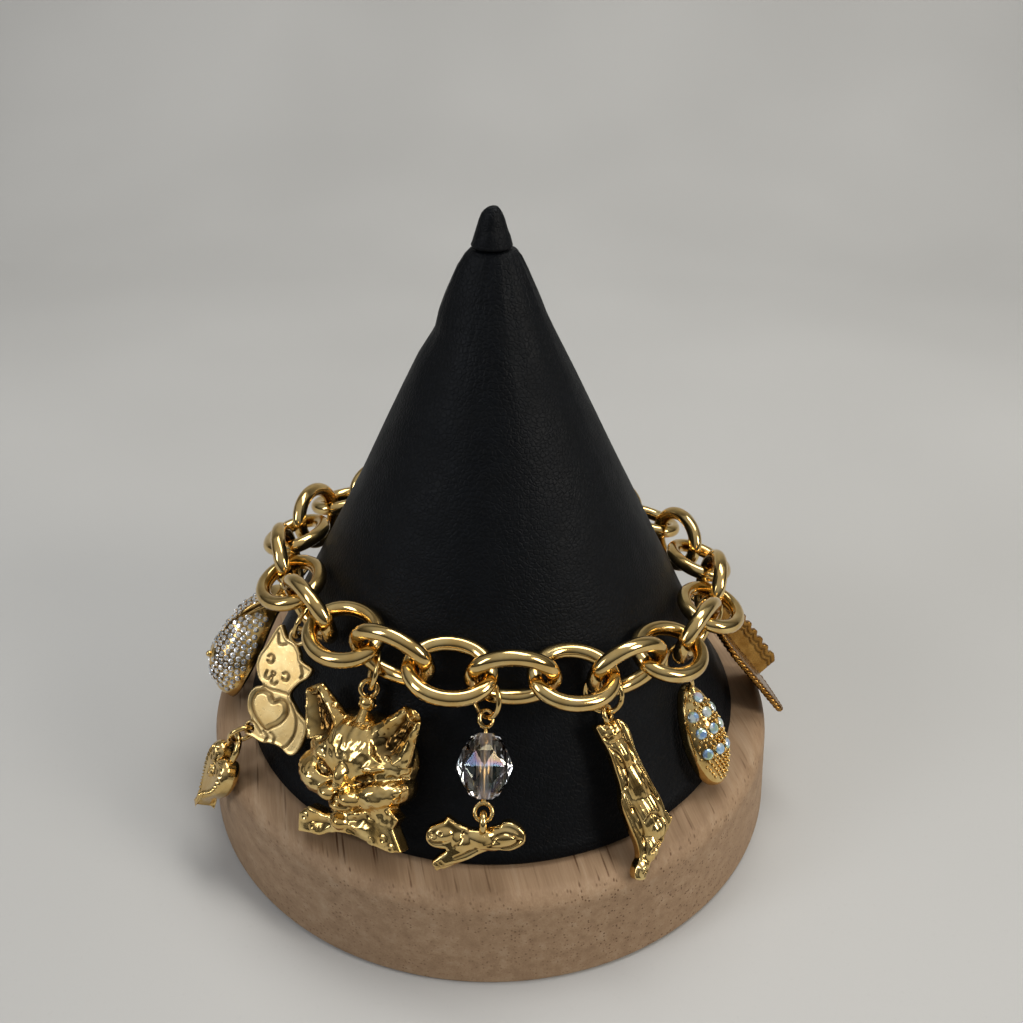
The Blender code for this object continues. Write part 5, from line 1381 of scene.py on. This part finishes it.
shell = reliefed(shell, fish_ground)
eye = moved(bead(0.5, 14), stand_on(*front_of(tree, CHEEK_X, CHEEK_Z), -0.2))
back = Matrix.Translation((0, FISH_BACK, 0))
gold_part = joined([moved(shell, back), moved(eye, back), hanging_loop(8)]
                   + [moved(g, back) for g in grains])
hang, azimuth = ring_hang("fish_ring")
fish_frame = hung(hang, azimuth, 8, 12, 6)
put("fish_shell", gold_part, fish_frame, CAST_GOLD, "gold", "fish")
put("fish_stones", moved(joined(stones), back), fish_frame, CLEAR_STONE, "crystal")
print("fish stones:", len(stones), "in", rows_of_stones, "rows")

# %% [markdown]
# Two plaques hang past the egg, in a darker gold that is painted shade: one with a rope of two
# twisted strands round its edge, the other with a wavy edge and a few pressed lines.

# %% Plaques
PLAQUE_WIDE, PLAQUE_HIGH, PLAQUE_THICK, CORNER = 10.0, 15.8, 0.9, 2.2
STRAND_RADIUS, STRAND_APART, LAY = 0.29, 0.26, 1.9
plaque_top = -LOOP_RADIUS - 0.2
edge_line = []
# Columns: side, whether the corner is at the top, and where its arc ends in degrees.
for side, at_top, start in ((1, True, 0), (1, False, 270), (-1, False, 180), (-1, True, 90)):
    cx = side * (PLAQUE_WIDE / 2 - CORNER)
    cz = plaque_top - CORNER if at_top else plaque_top - PLAQUE_HIGH + CORNER
    for step in range(10):
        a = math.radians(start + 90 - step * 10)
        edge_line.append((cx + CORNER * math.cos(a), cz + CORNER * math.sin(a)))
edge_line = np.array(edge_line)
closed_line = closed_up(edge_line)
field = melted(plate(edge_line, PLAQUE_THICK, 0.1), 0.13, 2)


def plaque_field(points, normals):
    """A shallow pressed frame and a beaten ground."""
    gap = line_distance(points, closed_line)
    facing = np.abs(normals[:, 1])
    beaten = hills(points[:, 0] * 1.3, points[:, 2] * 1.3)
    groove = np.exp(-((gap - 1.3) / 0.16) ** 2) * facing
    # Painted shade in the frame's groove and in the low spots of the ground.
    return 0.04 * beaten * facing - 0.10 * groove, 0.7 * groove + np.clip(-beaten, 0, 0.4)


field = reliefed(field, plaque_field)
walked = np.concatenate([[0], np.cumsum(np.linalg.norm(np.diff(closed_line, axis=0), axis=1))])
count = 420
at = np.linspace(0, walked[-1], count, endpoint=False)
spine = np.stack([np.interp(at, walked, closed_line[:, 0]), 0 * at,
                  np.interp(at, walked, closed_line[:, 1])], 1)
ahead = np.roll(spine, -1, 0) - np.roll(spine, 1, 0)
ahead /= np.linalg.norm(ahead, axis=1)[:, None]
deep = np.array([0.0, 1.0, 0.0])
aside = np.cross(ahead, deep)
twists = round(walked[-1] / LAY)
strands = []
for k in range(2):
    turn = 2 * np.pi * (twists * np.arange(count) / count + k / 2)
    way = np.cos(turn)[:, None] * aside + np.sin(turn)[:, None] * deep
    strands.append(tube(spine + STRAND_APART * way, STRAND_RADIUS, 10))
hang, azimuth = ring_hang("rope_ring")
charm = joined([field, hanging_loop(15)] + strands)
# The darker gold of this plaque is painted shade.
put("rope_edged_plaque", charm, hung(hang, azimuth, 15, 0, 12), SHADED_GOLD, "dark_gold",
    "rope_plaque")

WAVE_HIGH, WAVE_WIDE, WAVES = 16.5, 5.0, 7
inner, outer, rise = -WAVE_WIDE * 0.12, WAVE_WIDE * 0.72, WAVE_WIDE * 0.06
wave_line = [(inner, plaque_top), (outer - rise, plaque_top)]
for i in range(WAVES * 2 + 1):
    down = WAVE_HIGH * (i + 0.5) / (WAVES * 2 + 2)
    wave_line.append((outer + rise * (-1) ** i, plaque_top - down))
wave_line += [(outer - rise, plaque_top - WAVE_HIGH), (inner, plaque_top - WAVE_HIGH)]
wave_smooth = np.vstack([smooth_line(wave_line[1:-1], 5), wave_line[-1:], wave_line[:1]])
wave = melted(plate(wave_smooth, PLAQUE_THICK, 0.1), 0.12, 2)


def wave_lines(points, normals):
    """Pressed lines that follow the wavy edge."""
    facing = np.abs(normals[:, 1])
    gap = line_distance(points, wave_smooth[:-2])
    line = (np.exp(-((gap - 0.8) / 0.15) ** 2) + np.exp(-((gap - 1.5) / 0.15) ** 2)) * facing
    # Painted shade in the pressed lines.
    return -0.10 * line + 0.03 * hills(points[:, 0] * 1.2, points[:, 2] * 1.2), 0.7 * line


wave = reliefed(wave, wave_lines)
hang, azimuth = ring_hang("wave_ring")
charm = joined([wave, hanging_loop(-75, RING_TURN)])
# The darker gold of this plaque is painted shade.
put("wavy_edged_plaque", charm, hung(hang, azimuth, -75, 9), SHADED_GOLD, "dark_gold",
    "wavy_plaque")
print("plaques ready")

# %% [markdown]
# The room: a pale table that curves up behind, a broad soft light above, weaker ones at the
# left and at the right, and dark walls that the polished gold can mirror.

# %% Table and light
TABLE_Z, TABLE_BACK, SWEEP_RADIUS, HALF_WIDE = -0.02, 250, 260, 900
material, tree, place = start_material("pale_table")
tone = ramp(tree, cloud(tree, place, 160.0, 2.0), ((0.3, "#B4B3B0"), (0.7, "#BEBDBA")))
specks = span(tree, cloud(tree, place, 0.8, 2.0), 0.62, 0.75, 0.0, 0.10)
tone = blend(tree, specks, tone, colour("#A3A19D"))
finish_material(tree, {"Base Color": tone, "Roughness": 0.55, "Specular IOR Level": 0.3})
sweep = [(-600, TABLE_Z), (TABLE_BACK, TABLE_Z)]
for a in (math.radians(degrees) for degrees in range(0, 91, 6)):
    sweep.append((TABLE_BACK + SWEEP_RADIUS * math.sin(a),
                  TABLE_Z + SWEEP_RADIUS * (1 - math.cos(a))))
sweep.append((TABLE_BACK + SWEEP_RADIUS, 900))
points = [(x, y, z) for y, z in sweep for x in (-HALF_WIDE, HALF_WIDE)]
faces = [(2 * i, 2 * i + 1, 2 * i + 3, 2 * i + 2) for i in range(len(sweep) - 1)]
table_mesh = bpy.data.meshes.new("table")
table_mesh.from_pydata([(x * MM, y * MM, z * MM) for x, y, z in points], [], faces)
table_mesh.shade_smooth()
table_mesh.materials.append(material)
table = bpy.data.objects.new("table", table_mesh)
bpy.context.scene.collection.objects.link(table)


def soft_light(name, place, aim, size, watts, tint):
    """A square soft light at a place in mm, turned to an aim."""
    data = bpy.data.lights.new(name, "AREA")
    data.shape = "RECTANGLE"
    data.size, data.size_y = size[0] * MM, size[1] * MM
    data.energy = watts
    data.color = colour(tint)[:3]
    lamp = bpy.data.objects.new(name, data)
    bpy.context.scene.collection.objects.link(lamp)
    lamp.location = Vector(place) * MM
    lamp.rotation_mode = "QUATERNION"
    lamp.rotation_quaternion = (Vector(place) - Vector(aim)).to_track_quat("Z", "Y")


soft_light("ceiling", (110, 140, 620), (0, 0, 20), (520, 200), 2.1, "#FFFEFA")
soft_light("left_window", (-480, -260, 330), (0, 0, 30), (140, 300), 0.95, "#F6F9FF")
soft_light("right_lamp", (460, -240, 330), (0, 0, 30), (140, 260), 1.45, "#FFF9F0")
world = bpy.data.worlds.new("room")
bpy.context.scene.world = world
world.use_nodes = True
tree = world.node_tree
tree.nodes.clear()
place = add(tree, "ShaderNodeTexCoord").outputs["Generated"]
height = add(tree, "ShaderNodeSeparateXYZ", inputs={"Vector": place}).outputs["Z"]
shade = ramp(tree, span(tree, height, -1.0, 1.0, 0.0, 1.0),
             ((0.0, "#6E6A64"), (0.48, "#3A3835"), (0.62, "#6B6A68"), (0.80, "#C9CACC"),
              (1.0, "#EDEEF0")))
sky = add(tree, "ShaderNodeBackground", inputs={"Color": shade, "Strength": 0.6})
add(tree, "ShaderNodeOutputWorld", inputs={"Surface": sky.outputs["Background"]})
print("table and lights ready")

# %% [markdown]
# The camera stands in front, some 18 cm away, looks down by 31 degrees and is turned by a
# little more than one degree.

# %% Camera
LOOK_DOWN = math.radians(30.818)
ROLL = math.radians(1.191)
STANDS_AT = (2.546, -128.775, 122.884)
back = Vector((0, -math.cos(LOOK_DOWN), math.sin(LOOK_DOWN)))
up = Vector((0, math.sin(LOOK_DOWN), math.cos(LOOK_DOWN)))
right = Vector((1, 0, 0))
right_turned = math.cos(ROLL) * right + math.sin(ROLL) * up
up_turned = -math.sin(ROLL) * right + math.cos(ROLL) * up
matrix = Matrix((right_turned, up_turned, back)).transposed().to_4x4()
matrix.translation = Vector(STANDS_AT) * MM
lens = bpy.data.cameras.new("camera")
lens.sensor_width = 36.0
lens.lens = 36.07
lens.clip_start = 0.005
camera = bpy.data.objects.new("camera", lens)
bpy.context.scene.collection.objects.link(camera)
camera.matrix_world = matrix
bpy.context.scene.camera = camera
bpy.context.scene.view_settings.view_transform = "Standard"
bpy.context.scene.view_settings.look = "None"
bpy.context.view_layer.update()
